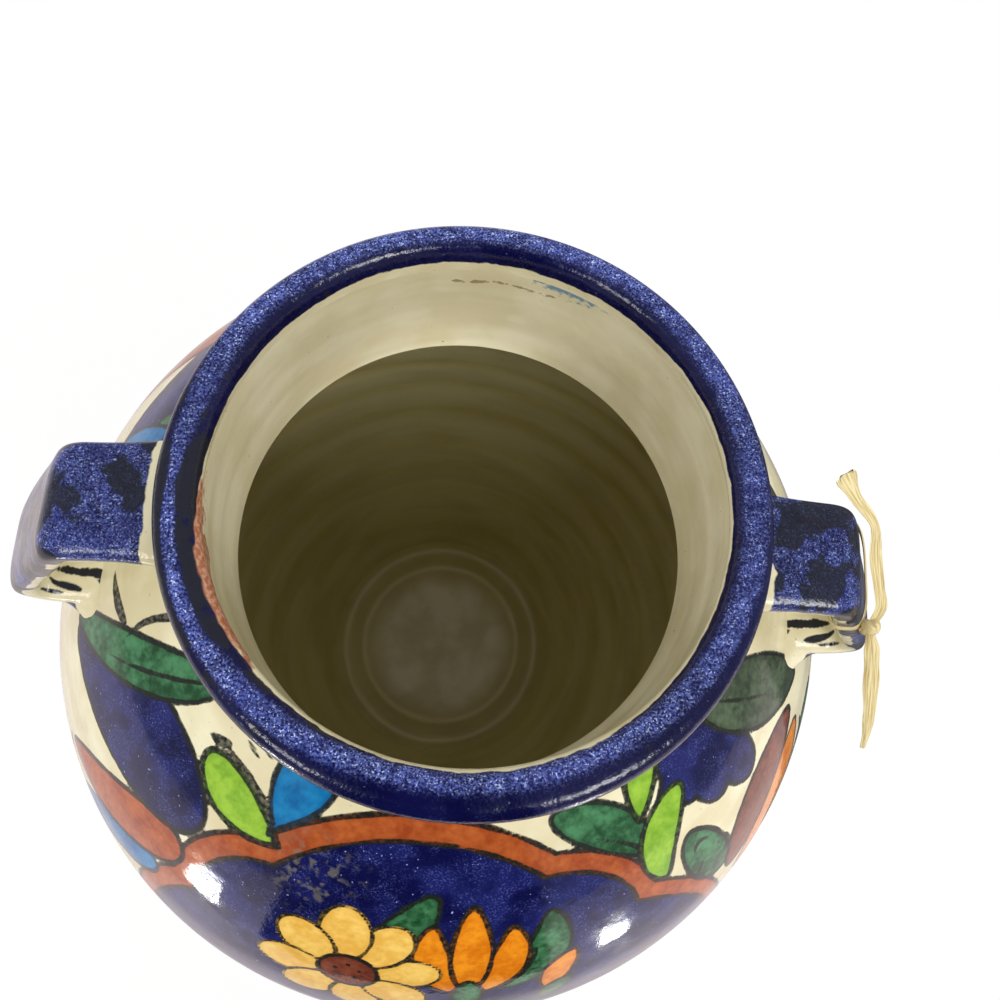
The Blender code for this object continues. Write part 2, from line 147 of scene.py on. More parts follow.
def add_card(name, corners, colour, *faces, only_mirrored=False):
    """Matt card that the camera doesn't see, only its light and shadow, or only its reflection."""
    finish, tree = new_finish(name)
    paint = add_node(tree, "BsdfDiffuse", Color=colour)
    add_node(tree, "OutputMaterial", Surface=paint.outputs[0])
    card = add_sheet(name, corners, finish, *faces)
    card.visible_camera = False
    if only_mirrored:
        card.visible_diffuse = card.visible_shadow = False


# Two dark cards, in front and leaning over the mouth, deepen the near side of the lip and the inside
for card_name, *edges in (("dark_front", (-0.26, 0.2, -0.52, 0.95), (0.2, -0.26, -0.52, 0.02)),
                          ("dark_overhead", (-0.14, 0.1, -0.52, 0.95), (0.06, -0.1, -0.03, 0.7))):
    add_card(card_name, [(x, y, z) for *ends, y, z in edges for x in ends], "#1E1E22")


def level_corners(left, front, right, back, height):
    """Corners of a level oblong, in order round it."""
    return [(left, front, height), (right, front, height), (right, back, height), (left, back, height)]


# A dim grey room that only the glaze's reflections show keeps its colours deep up to the outline.
# Its floor is pale, which whitens the low flanks, but for a dark mat on the right
ROOM_HALF = 2.5
ROOM_HEIGHT = 3.0
MAT_HEIGHT = 0.001
room_low, room_high = [level_corners(-ROOM_HALF, -ROOM_HALF, ROOM_HALF, ROOM_HALF, height)
                       for height in (MAT_HEIGHT, ROOM_HEIGHT)]
add_card("dim_room", room_low + room_high, "#8E8E90",
         [(7, 6, 5, 4), (4, 5, 1, 0), (5, 6, 2, 1), (6, 7, 3, 2), (7, 4, 0, 3)], only_mirrored=True)
add_card("pale_mat", room_low, "#D8CECE", only_mirrored=True)
add_card("dark_mat", level_corners(0.12, -0.13, ROOM_HALF, ROOM_HALF, 2 * MAT_HEIGHT), "#5E5E60",
         only_mirrored=True)

# White light from all round, and plain white behind everything
world = bpy.data.worlds.new("white_studio")
world.use_nodes = True
world.node_tree.nodes.clear()
room_light, white_seen = [add_node(world.node_tree, "Background", Color="#FFFFFF", Strength=strength)
                          for strength in (1.1, 1.0)]
add_node(world.node_tree, "OutputWorld", Surface=seen_apart(world.node_tree, 1.0, room_light, white_seen))
bpy.context.scene.world = world

# Matt white floor that runs out into the white behind it and keeps only a tenth of the vase's shadow
FLOOR_HALF = 3.0
floor_finish, floor_tree = new_finish("matt_white_sweep")
floor_paint = add_node(floor_tree, "BsdfDiffuse", Color="#F4F4F2")
floor_glow = add_node(floor_tree, "Emission", Color="#FFFFFF", Strength=1.0)
add_node(floor_tree, "OutputMaterial", Surface=seen_apart(floor_tree, 0.9, floor_paint, floor_glow))
add_sheet("floor", level_corners(-FLOOR_HALF, -FLOOR_HALF, FLOOR_HALF, FLOOR_HALF, 0), floor_finish)


# Foot and base
# The vase stands on a trimmed ring of bare pinkish clay. Inside the ring the base is bare too, and
# keeps the spiral that the wire and the wheel left in it.


def run_length(points):
    """Length along a line up to each of its points, summed chord by chord."""
    return np.concatenate(([0.0], np.cumsum(np.linalg.norm(np.diff(points, axis=0), axis=1))))


def resample(profile, spacing):
    """Points along a profile at an even spacing."""
    profile = np.array(profile)
    length = run_length(profile)
    stops = np.linspace(0, length[-1], max(2, round(length[-1] / spacing) + 1))
    return np.stack([np.interp(stops, length, axis) for axis in profile.T], axis=1)


def turned_grid(radius, height, angle):
    """Grid of a turned surface: (radius cos angle, radius sin angle, height) for each row and column."""
    radius, height, angle = np.broadcast_arrays(radius, height, angle)
    return np.stack((radius * np.cos(angle), radius * np.sin(angle), height), axis=2)


def unit(vectors):
    """Vectors brought to length one."""
    return vectors / np.maximum(np.linalg.norm(vectors, axis=-1, keepdims=True), 1e-15)


def grid_normals(points):
    """Unit normals of a closed grid: its slope along a row crossed with its slope from row to row."""
    onward = (np.roll(points, -1, axis=1) - np.roll(points, 1, axis=1)) / 2
    return unit(np.cross(onward, np.gradient(points, axis=0)))


def add_grid(name, points, finish, slot_name, nodes, normals=None, cap=None, **values):
    """Piece from a grid of points, with values per point; the first or last row can be capped.

    Its rows close on themselves, unless it is given its normals as a part of a larger grid.
    """
    rows, columns = points.shape[:2]
    closed = normals is None
    if closed:
        normals = grid_normals(points)
    index = np.arange(rows * columns).reshape(rows, columns)
    ring = index[0, ::-1] if cap == "first" else index[-1]
    if closed:
        index = np.concatenate((index, index[:, :1]), axis=1)
    quads = np.stack((index[:-1, :-1], index[:-1, 1:], index[1:, 1:], index[1:, :-1]), axis=2)
    corners = quads.reshape(-1)
    starts = np.arange(0, len(corners), 4)
    if cap:
        starts = np.append(starts, len(corners))
        corners = np.append(corners, ring)
    mesh = bpy.data.meshes.new(name)
    mesh.vertices.add(rows * columns)
    mesh.vertices.foreach_set("co", points.astype(np.float32).ravel())
    mesh.loops.add(len(corners))
    mesh.loops.foreach_set("vertex_index", corners.astype(np.int32))
    mesh.polygons.add(len(starts))
    mesh.polygons.foreach_set("loop_start", starts.astype(np.int32))
    mesh.update(calc_edges=True)
    mesh.shade_smooth()
    mesh.normals_split_custom_set_from_vertices(normals.reshape(-1, 3))
    for key, array in values.items():
        layer = mesh.attributes.new(key, "FLOAT", "POINT")
        layer.data.foreach_set("value", np.broadcast_to(array, (rows, columns)).astype(np.float32).ravel())
    mesh.materials.append(finish)
    piece = bpy.data.objects.new(name, mesh)
    bpy.context.collection.objects.link(piece)
    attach(piece, "root")
    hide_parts(*nodes)


def ramp(value, start, end, low=0.0, high=1.0):
    """Value turned from start..end into low..high, smoothly and held at both ends."""
    if start > end:
        start, end, low, high = end, start, high, low
    return add_node(value.id_data, "MapRange", {"interpolation_type": "SMOOTHSTEP"}, Value=value,
                    From_Min=start, From_Max=end, To_Min=low, To_Max=high).outputs[0]


def blend(factor, under, over):
    """Colour between two colours or links."""
    return add_node(factor.id_data, "Mix", {"data_type": "RGBA"}, i0=factor, i6=under, i7=over).outputs[2]


def grain(tree, size_mm, detail=2.0, stretch=(1.0, 1.0, 1.0), place=None):
    """Noise between about 0.25 and 0.75 whose grains have the size in millimetres."""
    if place is None:
        place = add_node(tree, "TexCoord").outputs["Object"]
    mapping = add_node(tree, "Mapping", Vector=place, Scale=stretch)
    return add_node(tree, "TexNoise", Vector=mapping.outputs[0], Scale=1000.0 / size_mm,
                    Detail=detail).outputs[0]


def mottle(tree, colour, *layers):
    """Colour with layers of patches over it.

    Each layer says its colour, its grain in millimetres and its detail, the noise at which its
    patches start and at which they are whole, how strong they are, and how their grain is stretched.
    """
    for over, size_mm, detail, start, whole, strength, *stretch in layers:
        patches = ramp(grain(tree, size_mm, detail, *stretch), start, whole, 0, strength)
        colour = blend(patches, colour, over)
    return colour


def bumps(*heights):
    """Normal of a relief made of several (height link, depth in millimetres) layers."""
    total = 0.0
    for link, depth in heights:
        total = calculate("ADD", calculate("MULTIPLY", link, depth), total)
    return add_node(total.id_data, "Bump", Height=total, Distance=0.001, Strength=1.0).outputs[0]


def close_finish(tree, **inputs):
    """Principled surface with these inputs, as the material's output."""
    surface = add_node(tree, "BsdfPrincipled", **inputs)
    add_node(tree, "OutputMaterial", Surface=surface.outputs[0])


FOOT_WIDTH = 0.012
FOOT_TAPER = 0.002
FOOT_EDGE = 0.0015
WIRE_PITCH = 0.007         # from one turn of the wire's spiral to the next
PINHOLE = 0.0004           # ring that the cap of a turned surface starts from
AZIMUTHS = np.linspace(-math.pi, math.pi, 760, endpoint=False)
foot_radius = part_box("foot_ring")[1][0]
base_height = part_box("body_lower")[0][2]


def make_foot():
    finish, tree = new_finish("bare_fired_clay")
    # Pinkish earthenware: dry to the eye, with darker grit and chalky patches where tin glaze dusted it
    colour = mottle(tree, "#B0795C", ("#C79A78", 14, 3, 0.38, 0.62, 1),
                    ("#7C4C38", 0.9, 3, 0.62, 0.72, 1), ("#D9CDAF", 5, 3, 0.6, 0.68, 0.6))
    close_finish(tree, Base_Color=colour, Roughness=0.86, Specular_IOR_Level=0.3,
                 Normal=bumps((grain(tree, 0.9, 3), 0.1), (grain(tree, 3), 0.12)))

    inside = foot_radius - FOOT_WIDTH
    low_outside = foot_radius - FOOT_TAPER
    base = resample([(PINHOLE, base_height), (inside - 0.001, base_height)], 0.0012)
    ring = [(inside, base_height - 0.001), (inside, FOOT_EDGE), (inside + 0.0005, 0.0004),
            (inside + FOOT_EDGE, 0.0), (low_outside - FOOT_EDGE, 0.0), (low_outside - 0.0005, 0.0004),
            (low_outside, FOOT_EDGE), (foot_radius, base_height)]
    profile = np.vstack((base, resample(ring, 0.0009)))
    radius, height = profile[:, :1], profile[:, 1:]
    # The wire's spiral is a low groove that winds outwards and fades before the ring
    spiral = np.sin(2 * math.pi * radius / WIRE_PITCH - AZIMUTHS)
    spiral = spiral * np.clip((inside - 0.004 - radius) / 0.02, 0, 1) * (height > base_height - 0.0005)
    # The ring stands on three low places, so its lowest line is nowhere above the ground by more than 0.2 mm
    worn = 0.0001 * (1 + np.sin(3 * AZIMUTHS)) * np.clip((0.002 - height) / 0.002, 0, 1)
    points = turned_grid(radius, height + np.minimum(0.0003 * spiral, 0.0) + worn, AZIMUTHS)
    add_grid("foot", points, finish, "bare_clay", ["foot_ring", "body_lower"], cap="first")


make_foot()


# Painted wall
# The outside from the foot to the lip, thrown in two sections and smoothed by hand, is one skin of
# cream tin glaze. The flowers, leaves, bands and framed fields on it are flat washes of
# colour inside brushed black lines, so it is built in quarters, each with the paint's distances.

COLLAR_RADIUS = 0.0855
COLLAR_FLARE = 0.016
WALL_STEP = 0.0015
belly_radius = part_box("body_lower")[1][0]
belly_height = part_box("body_lower")[1][2]
collar_base_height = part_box("body_shoulder")[1][2]
collar_base_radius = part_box("neck_collar")[1][0]
collar_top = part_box("neck_collar")[1][2]
shoulder_turn = math.acos(collar_base_radius / belly_radius)
shoulder_rise = (collar_base_height - belly_height) / math.sin(shoulder_turn)


def wall_curves(narrowest, widest, bottom, rise, below, angle):
    """Radius and height of a wall below and above its widest line.

    Below, a parabola: it widens with the square of the depth under that line. Above, an ellipse:
    it closes with the cosine of an angle and rises with its sine.
    """
    lower = np.stack((narrowest + (widest - narrowest) * (1 - below ** 2),
                      belly_height - below * (belly_height - bottom)), axis=1)
    upper = np.stack((widest * np.cos(angle), belly_height + rise * np.sin(angle)), axis=1)
    return lower, upper


def outer_profile():
    """Radius and height up the outside: the wall's two curves, a flare and an upright collar.

    The flare is a three-point curve that leaves along the shoulder's slope.
    """
    curves = wall_curves(foot_radius, belly_radius, base_height, shoulder_rise, np.linspace(1.0, 0.0, 200),
                         np.linspace(0, shoulder_turn, 200)[1:])
    start = curves[1][-1]
    slope = belly_radius * math.sin(shoulder_turn) / (shoulder_rise * math.cos(shoulder_turn))
    bend = np.array((COLLAR_RADIUS, start[1] + (start[0] - COLLAR_RADIUS) / slope))
    end = np.array((COLLAR_RADIUS, start[1] + COLLAR_FLARE))
    share = np.linspace(0, 1, 40)[1:, None]
    flare = (1 - share) ** 2 * start + 2 * share * (1 - share) * bend + share ** 2 * end
    return np.vstack((*curves, flare, [(COLLAR_RADIUS, collar_top + 0.001)]))


wall_profile = outer_profile()


def wall_radius(height):
    """Outside radius at a height."""
    return np.interp(height, wall_profile[:, 1], wall_profile[:, 0])


def hand_wobble(height, angle):
    """How far the hand-smoothed wall lies inside the true turned one: slow waves round it and up it."""
    waves = (0.00018 * np.sin(2 * angle + 9 * height) + 0.0001 * np.sin(3 * angle - 14 * height)
             + 0.00009 * np.sin(2 * math.pi * height / 0.023 + 0.7 * np.sin(angle)))
    return 0.00038 + waves


wall_rows = resample(wall_profile, WALL_STEP)
wall_heights = wall_rows[:, 1:]
wall_radii = wall_rows[:, :1] - hand_wobble(wall_heights, AZIMUTHS)
wall_points = turned_grid(wall_radii, wall_heights, AZIMUTHS)
wall_normals = grid_normals(wall_points)

UNPAINTED = 20.0           # millimetres; a distance that stands for no paint near
PAINTS = ("cobalt", "forest", "moss", "lime", "terracotta", "sky", "orange", "ochre", "brown")
paint = {name: np.full(wall_points.shape[:2], UNPAINTED) for name in (*PAINTS, "line")}


def wall_point(azimuth, height):
    """Place on the wall at an azimuth in degrees and a height in millimetres."""
    angle = math.radians(azimuth)
    radius = float(wall_radius(height / 1000))
    return np.array((radius * math.cos(angle), radius * math.sin(angle), height / 1000))


def stroke(start, end, width, widest=0.5, bluntness=0.5, bow=0.0):
    """Signed distance in millimetres to one brush mark, the union of discs along a bowed line.

    The disc's radius grows and shrinks as a power, the bluntness, of a sine that peaks at the share
    called widest. The line runs from start to end, (azimuth, height) pairs, and bows to its left
    by a share of its length.
    """
    width = width / 1000
    first, last = wall_point(*start), wall_point(*end)
    chord = last - first
    outward = (first + last) * (1.0, 1.0, 0.0)
    outward[2] = (first + last)[2] - 2 * belly_height
    side = np.cross(unit(outward), chord)
    discs = min(90, max(26, round(3 * float(np.linalg.norm(chord)) / width)))
    share = np.linspace(0, 1, discs)[:, None]
    line = first + chord * share + side * (4 * bow * share * (1 - share))
    line[:, :2] *= (wall_radius(line[:, 2]) / np.hypot(line[:, 0], line[:, 1]))[:, None]
    power = math.log(0.5) / math.log(widest)
    radii = width / 2 * np.sin(math.pi * share[:, 0] ** power).clip(0, 1) ** bluntness
    distance = np.full(wall_points.shape[:2], UNPAINTED)
    reach = np.linalg.norm(chord) * (0.5 + abs(bow)) + width + UNPAINTED / 1000
    near = np.linalg.norm(wall_points - line[discs // 2], axis=2) < reach
    gaps = np.linalg.norm(wall_points[near][:, None, :] - line, axis=2) - radii
    distance[near] = gaps.min(axis=1) * 1000
    return np.minimum(distance, UNPAINTED)


def disc(azimuth, height, radius):
    """Signed distance in millimetres to a round spot."""
    distance = np.linalg.norm(wall_points - wall_point(azimuth, height), axis=2)
    return np.minimum(distance * 1000 - radius, UNPAINTED)


def lay(colour, *marks, line=1.0):
    """Paint the union of marks in one colour and outline it, over whatever was there before."""
    mark = np.minimum.reduce(marks)
    for name in PAINTS:
        paint[name] = np.maximum(paint[name], -mark)
    paint[colour] = np.minimum(paint[colour], mark)
    paint["line"] = np.minimum(np.maximum(paint["line"], -mark), np.abs(mark) - line)


def draw(*marks):
    """Black brush marks without a wash."""
    paint["line"] = np.minimum.reduce((paint["line"], *marks))


def leaf(colour, start, end, width, widest=0.42, bluntness=0.75, bow=0.0, vein=True, line=1.0):
    """Leaf or petal from its foot to its tip, with a black vein along two thirds of its middle."""
    lay(colour, stroke(start, end, width, widest, bluntness, bow), line=line)
    if vein:
        stop = tuple(first + 0.68 * (last - first) for first, last in zip(start, end))
        draw(stroke(start, stop, 2, 0.35, 0.5, bow * 0.7))


def stem(start, end, bow=0.0, width=4.2):
    """Green stalk of a flower."""
    lay("forest", stroke(start, end, width, 0.5, 0.15, bow), line=0.7)


def curl(start, end, width, bow):
    """Tapering black brush stroke."""
    draw(stroke(start, end, width, 0.35, 0.8, bow))


def about(azimuth, height, size, turn, reach_round, reach_up):
    """Place at a turn about a flower's middle: it lies off by these shares of the flower's size."""
    angle = math.radians(turn)
    size_round = math.degrees(size / 1000 / float(wall_radius(height / 1000)))
    return (azimuth + reach_round * size_round * math.cos(angle), height + reach_up * size * math.sin(angle))


def cloud_flower(colour, azimuth, height, size, turn, lobes=4, spread=1.0):
    """Ring of round lobes about a middle, run together under one outline."""
    places = [about(azimuth, height, size, turn + 360 * number / lobes, 0.62 * spread, 0.55)
              for number in range(lobes)]
    lay(colour, disc(azimuth, height, size * 0.62), *(disc(*place, size * 0.52) for place in places))


def daisy(azimuth, height, size, petals, colour, middle, turn=0.0):
    """Flower of single petals round a button with five dots."""
    for number in range(petals):
        ends = [about(azimuth, height, size, turn + 360 * number / petals, *reach)
                for reach in ((0.25, 0.2), (1, 0.85))]
        lay(colour, stroke(*ends, size * 0.62, 0.62, 0.6), line=0.8)
    lay(middle, disc(azimuth, height, size * 0.36))
    for number in range(5):
        dot = about(azimuth, height, size, 72 * number + math.degrees(0.4), 0.15, 0.13)
        draw(disc(*dot, size * 0.035))


def coil(azimuth, height):
    """Black line that winds into a round green bud, in three strokes."""
    for begin, end, bow in (((-2.2, 6), (1.6, 7), 0.45), ((1.8, 6), (0.9, -9), 0.4),
                            ((0.6, -9), (-1, 0), 0.55)):
        draw(stroke((azimuth + begin[0], height + begin[1]), (azimuth + end[0], height + end[1]),
                    2.6, 0.5, 0.5, bow))


BAND = 9.6                 # millimetres of terracotta round a framed field
# Each lobe of a field: degrees from its middle, height and radius
FIELD_LOBES = ((-4, 292, 80), (-24, 300, 42), (16, 304, 45), (-17, 252, 82), (17, 252, 82), (-29, 188, 56),
               (29, 186, 57), (-19, 138, 50), (20, 137, 50), (0, 118, 44), (0, 200, 90))


def framed_field(middle):
    """Scalloped frame about an azimuth: a union of discs, terracotta at its rim and cobalt within."""
    mark = np.minimum.reduce([disc(middle + offset, *lobe) for offset, *lobe in FIELD_LOBES])
    lay("terracotta", mark)
    thicker_left = 1.4 * np.sin(AZIMUTHS - math.radians(middle))
    lay("cobalt", mark + BAND - thicker_left)


def front_bouquet():
    """Flowers in the front field: big ochre daisy, orange tulip, buds and broad leaves on their stems."""
    for start, end, bow in (((-100, 275), (-91, 150), 0.1), ((-84, 290), (-89, 150), -0.05),
                            ((-72, 270), (-87, 150), -0.14), ((-112, 215), (-92, 150), 0.12),
                            ((-68, 205), (-86, 150), -0.12)):
        stem(start, end, bow)
    leaf("forest", (-96, 262), (-90, 327), 23, 0.55, 0.6, 0.1)
    leaf("forest", (-80, 285), (-72, 318), 18, 0.5, 0.6, -0.15)
    leaf("lime", (-92, 200), (-103, 245), 20, 0.5, 0.75, 0.12)
    leaf("forest", (-88, 205), (-77, 252), 24, 0.5, 0.65, -0.14)
    leaf("forest", (-93, 168), (-113, 190), 22, 0.5, 0.65, -0.12)
    leaf("lime", (-86, 165), (-66, 178), 20, 0.5, 0.75, 0.12)
    leaf("sky", (-89, 170), (-92, 130), 14, 0.5, 0.75, 0)
    for end, bow in (((-90, 318), 0.12), ((-78, 316), -0.12), ((-84, 324), 0)):
        leaf("orange", (-84.5, 282), end, 15, 0.55, 0.7, bow, vein=False)
    leaf("forest", (-84.5, 275), (-84.5, 292), 12, 0.4, 0.7, vein=False)
    daisy(-101, 292, 31, 8, "ochre", "brown", 12)
    leaf("orange", (-73, 272), (-69, 298), 13, 0.55, 0.75, 0.1, vein=False)
    leaf("forest", (-74, 262), (-70, 279), 11, 0.5, 0.75, 0.1, vein=False)
    daisy(-114, 224, 19, 6, "orange", "brown")
    cloud_flower("sky", -67, 213, 16, 30, 5)
    daisy(-89, 238, 22, 7, "terracotta", "ochre")


def back_bouquet():
    """Flowers in the back field, which the photograph doesn't show: a spray about one large daisy."""
    for start, bow in ((66, -0.12), (78, -0.06), (90, 0), (102, 0.06), (114, 0.12)):
        stem((start, 255), (90, 145), bow)
    daisy(90, 282, 36, 9, "ochre", "brown", 0)
    for side in (-1, 1):
        leaf("orange", (90 + 13 * side, 262), (90 + 19 * side, 308), 20, 0.55, 0.7, 0.1 * side)
        leaf("forest", (90 + 5 * side, 200), (90 + 17 * side, 246), 23, 0.5, 0.65, 0.14 * side)
        cloud_flower("sky", 90 + 26 * side, 262, 17, 20, 5)
        leaf("lime", (90 + 3 * side, 165), (90 + 24 * side, 186), 20, 0.5, 0.75, -0.12 * side)
        daisy(90 + 31 * side, 214, 17, 6, "terracotta", "ochre")
    leaf("sky", (90, 205), (90, 240), 17, 0.55, 0.7)


def cluster(petals, mirror=None):
    """Sprays of leaves and petals between a framed field and a handle.

    Mirrored, a petal's azimuth is the given sum less its own.
    """
    for colour, start, end, width, widest, bluntness, bow, vein, line in petals:
        if mirror is not None:
            start, end, bow = (mirror - start[0], start[1]), (mirror - end[0], end[1]), -bow
        leaf(colour, start, end, width, widest, bluntness, bow, vein, line)


# Each petal: colour, foot, tip, width, where it is widest, bluntness, bow, vein, half line
LEFT_SPRAY = (
    ("sky", (-132, 283.5), (-147, 250), 22, 0.4, 0.5, 0, False, 1),
    ("terracotta", (-131.3, 301), (-152, 268), 26.5, 0.3, 0.42, 0, False, 1.2),
    ("cobalt", (-132, 315), (-166, 298), 44, 0.38, 0.62, -0.13, False, 1.1),
    ("forest", (-145, 341.2), (-168, 298.5), 19, 0.36, 0.45, 0, True, 1),
    ("lime", (-117, 326.8), (-135.2, 332.8), 18.5, 0.62, 0.62, 0.04, False, 1.3),
    ("sky", (-119.4, 328), (-117.6, 349), 20.5, 0.68, 0.72, 0, False, 1.1),
)
RIGHT_SPRAY = (
    ("forest", (-27, 252), (-12, 274), 19, 0.5, 0.6, 0.06, False, 0.9),
    ("orange", (-41, 256), (-19.8, 288.5), 26.5, 0.5, 0.6, 0.02, False, 0.9),
    ("brown", (-42, 274.5), (-19.5, 299), 26.5, 0.46, 0.6, 0.14, False, 1),
    ("moss", (-31, 340), (-13.8, 301.5), 29, 0.44, 0.8, 0, True, 1),
    ("forest", (-53.8, 318.8), (-68.2, 340.2), 18, 0.6, 0.5, -0.1, True, 1.1),
    ("lime", (-53.6, 329.8), (-42.8, 347), 13.5, 0.6, 0.6, 0.04, False, 1.2),
    ("lime", (-53, 306.6), (-44.3, 330), 16.5, 0.56, 0.5, 0.18, False, 1.2),
    ("forest", (-47.1, 313.8), (-44.3, 283), 20, 0.5, 0.5, 0, False, 1.1),
)


def paint_wall():
    for middle in (-89, 90):
        framed_field(middle)
    front_bouquet()
    back_bouquet()
    cluster(LEFT_SPRAY)
    lay("cobalt", stroke((-34, 340), (-32.4, 310.5), 21, 0.55, 0.35),
        stroke((-39, 340), (-38.4, 317.5), 19, 0.6, 0.35),
        stroke((-42, 344), (-43.2, 324.8), 15, 0.6, 0.35),
        stroke((-43, 337.5), (-56.5, 321.5), 5, 0.3, 0.3, 0.06))
    cluster(RIGHT_SPRAY)
    coil(-45.6, 298.5)
    for shape in (((-158.3, 341.5), (-160.5, 321.2), 3.2, -0.13), ((-162.9, 323.2), (-173, 319), 4.6, 0.06),
                  ((-119, 330.5), (-137.6, 336.6), 4.4, -0.08), ((-134, 337.5), (-138.4, 335.5), 4, 0.1),
                  ((-132.4, 340.5), (-127.4, 339.3), 1.8, 0.05), ((-129.4, 342), (-125.2, 340.8), 1.6, 0.05),
                  ((-18.5, 281), (-22, 268), 3, 0.12)):
        curl(*shape)
    # Behind the handles the sprays repeat in mirror image, on the right without their two low petals
    cluster(LEFT_SPRAY, 4)
    cluster([petal for petal in RIGHT_SPRAY if petal[0] not in ("brown", "orange")], -4)
    cloud_flower("cobalt", 34, 323.5, 21, 20, 4, 1.1)
    leaf("sky", (161.5, 325), (165, 298), 17, 0.6, 0.55, 0.05, False)
    # Lower down, one spray under each handle and small ones beside it
    for middle in (0, 180):
        for side in (-1, 1):
            leaf("forest", (middle, 262), (middle + 20 * side, 250), 22, 0.5, 0.6, -0.1 * side)
        for side in (-1, 1):
            leaf("lime", (middle, 215), (middle + 20 * side, 222), 18, 0.5, 0.7, 0.12 * side)
            leaf("brown", (middle + 3 * side, 196), (middle + 17 * side, 166), 18, 0.5, 0.65, 0.1 * side)
            leaf("sky", (middle + 22 * side, 205), (middle + 31 * side, 182), 18, 0.5, 0.6, 0, False)
            leaf("forest", (middle, 130), (middle + 24 * side, 112), 22, 0.5, 0.6, 0.1 * side)
            leaf("orange", (middle + 3 * side, 112), (middle + 22 * side, 83), 16, 0.5, 0.7, 0.1 * side)
            curl((middle + 25 * side, 135), (middle + 33 * side, 118), 4, 0.2 * side)
            curl((middle + 26 * side, 265), (middle + 31 * side, 248), 4, -0.2 * side)
        cloud_flower("cobalt", middle, 238, 26, 45, 5)
        daisy(middle, 238, 15, 6, "ochre", "brown")
        daisy(middle, 170, 24, 8, "terracotta", "ochre", 10)
        stem((middle, 150), (middle, 92), width=4.5)
    # Two bands round the foot: terracotta over cobalt, ruled on the wheel
    for colour, middle, half in (("terracotta", 57, 5), ("cobalt", 36, 16)):
        lay(colour, np.abs(wall_points[:, :, 2] * 1000 - middle) - half)


def cream_ground(tree):
    """Warm cream tin glaze: thicker and thinner clouds in it, faint throwing streaks, a few iron specks."""
    return mottle(tree, "#D9CEA8", ("#E8E1C0", 26, 3, 0.36, 0.64, 1),
                  ("#CDBE95", 30, 2, 0.42, 0.62, 0.28, (0.12, 0.12, 5)),
                  ("#8C7148", 1.6, 1, 0.74, 0.79, 0.5))


def cobalt_wash(tree):
    """Cobalt under the glaze: deep and lighter clouds, with dense whitish speckle where it boiled."""
    wash = mottle(tree, "#0A0C3C", ("#1A1F5C", 16, 4, 0.36, 0.66, 1))
    fine = ramp(grain(tree, 0.7, 2), 0.48, 0.74)
    share = calculate("MULTIPLY", fine, ramp(grain(tree, 8, 3), 0.38, 0.62, 0.04, 0.48))
    return mottle(tree, blend(share, wash, "#5C66A8"), ("#97A2D6", 1, 0, 0.81, 0.86, 1))


def value_of(tree, name):
    """A piece's own value per point."""
    return add_node(tree, "Attribute", {"attribute_name": name}).outputs["Fac"]


def drift(tree, size_mm, detail, amount, *stretch):
    """Noise that moves a value up and down by at most about a quarter of the amount."""
    return calculate("MULTIPLY", calculate("SUBTRACT", grain(tree, size_mm, detail, *stretch), 0.5), amount)


SCUFF_PLACE = (-0.043, -0.115, 0.324)
DARK_AND_LIGHT = {
    "forest": ("#1A4326", "#498459"), "moss": ("#2D3829", "#52634A"), "lime": ("#72A028", "#9AC23E"),
    "terracotta": ("#93401D", "#B5602F"), "sky": ("#005A93", "#127CB2"), "orange": ("#D06F0E", "#EE9620"),
    "ochre": ("#E2AC48", "#F4CC6C"), "brown": ("#5C2A20", "#84452E")}


def painted_glaze():
    finish, tree = new_finish("painted_tin_glaze")
    # Glossy tin glaze: hand washes of colour show their streaks, and black lines break and swell
    colour = cream_ground(tree)
    wobble = calculate("ADD", drift(tree, 9, 1, 1.6), drift(tree, 1.3, 2, 0.5))
    tone = ramp(calculate("ADD", drift(tree, 9, 3, 0.6, (1, 1, 0.4)), drift(tree, 2.6, 3, 0.4)),
                -0.16, 0.16)
    for name in PAINTS:
        distance = calculate("ADD", value_of(tree, name), wobble)
        if name == "cobalt":
            wash = cobalt_wash(tree)
        else:
            dark, light = DARK_AND_LIGHT[name]
            wash = blend(ramp(distance, -3.0, -0.6, 0.0, 0.45), blend(tone, dark, light), dark)
        colour = blend(ramp(distance, 0.75, 0.25), colour, wash)
    # The glaze is scuffed grey above the left of the bouquet
    place = add_node(tree, "TexCoord").outputs["Object"]
    from_scuff = add_node(tree, "VectorMath", {"operation": "DISTANCE"}, i0=place, i1=SCUFF_PLACE)
    scuff = calculate("MULTIPLY", ramp(from_scuff.outputs["Value"], 0.024, 0.005),
                      ramp(grain(tree, 3.5, 5), 0.5, 0.64, 0, 0.55))
    colour = blend(scuff, colour, "#77725E")
    swell = calculate("ADD", value_of(tree, "line"), calculate("MULTIPLY", wobble, 0.7))
    ink = calculate("MULTIPLY", ramp(swell, 0.3, -0.25), ramp(grain(tree, 1.8, 3), 0.3, 0.6, 0.8, 1))
    close_finish(tree, Base_Color=blend(ink, colour, "#1E201C"), IOR=1.5, Specular_IOR_Level=0.45,
                 Roughness=ramp(grain(tree, 11), 0.35, 0.65, 0.07, 0.15),
                 Normal=bumps((grain(tree, 0.9), 0.02), (grain(tree, 4, 1), 0.06),
                              (grain(tree, 18, 1), 0.25)))
    return finish


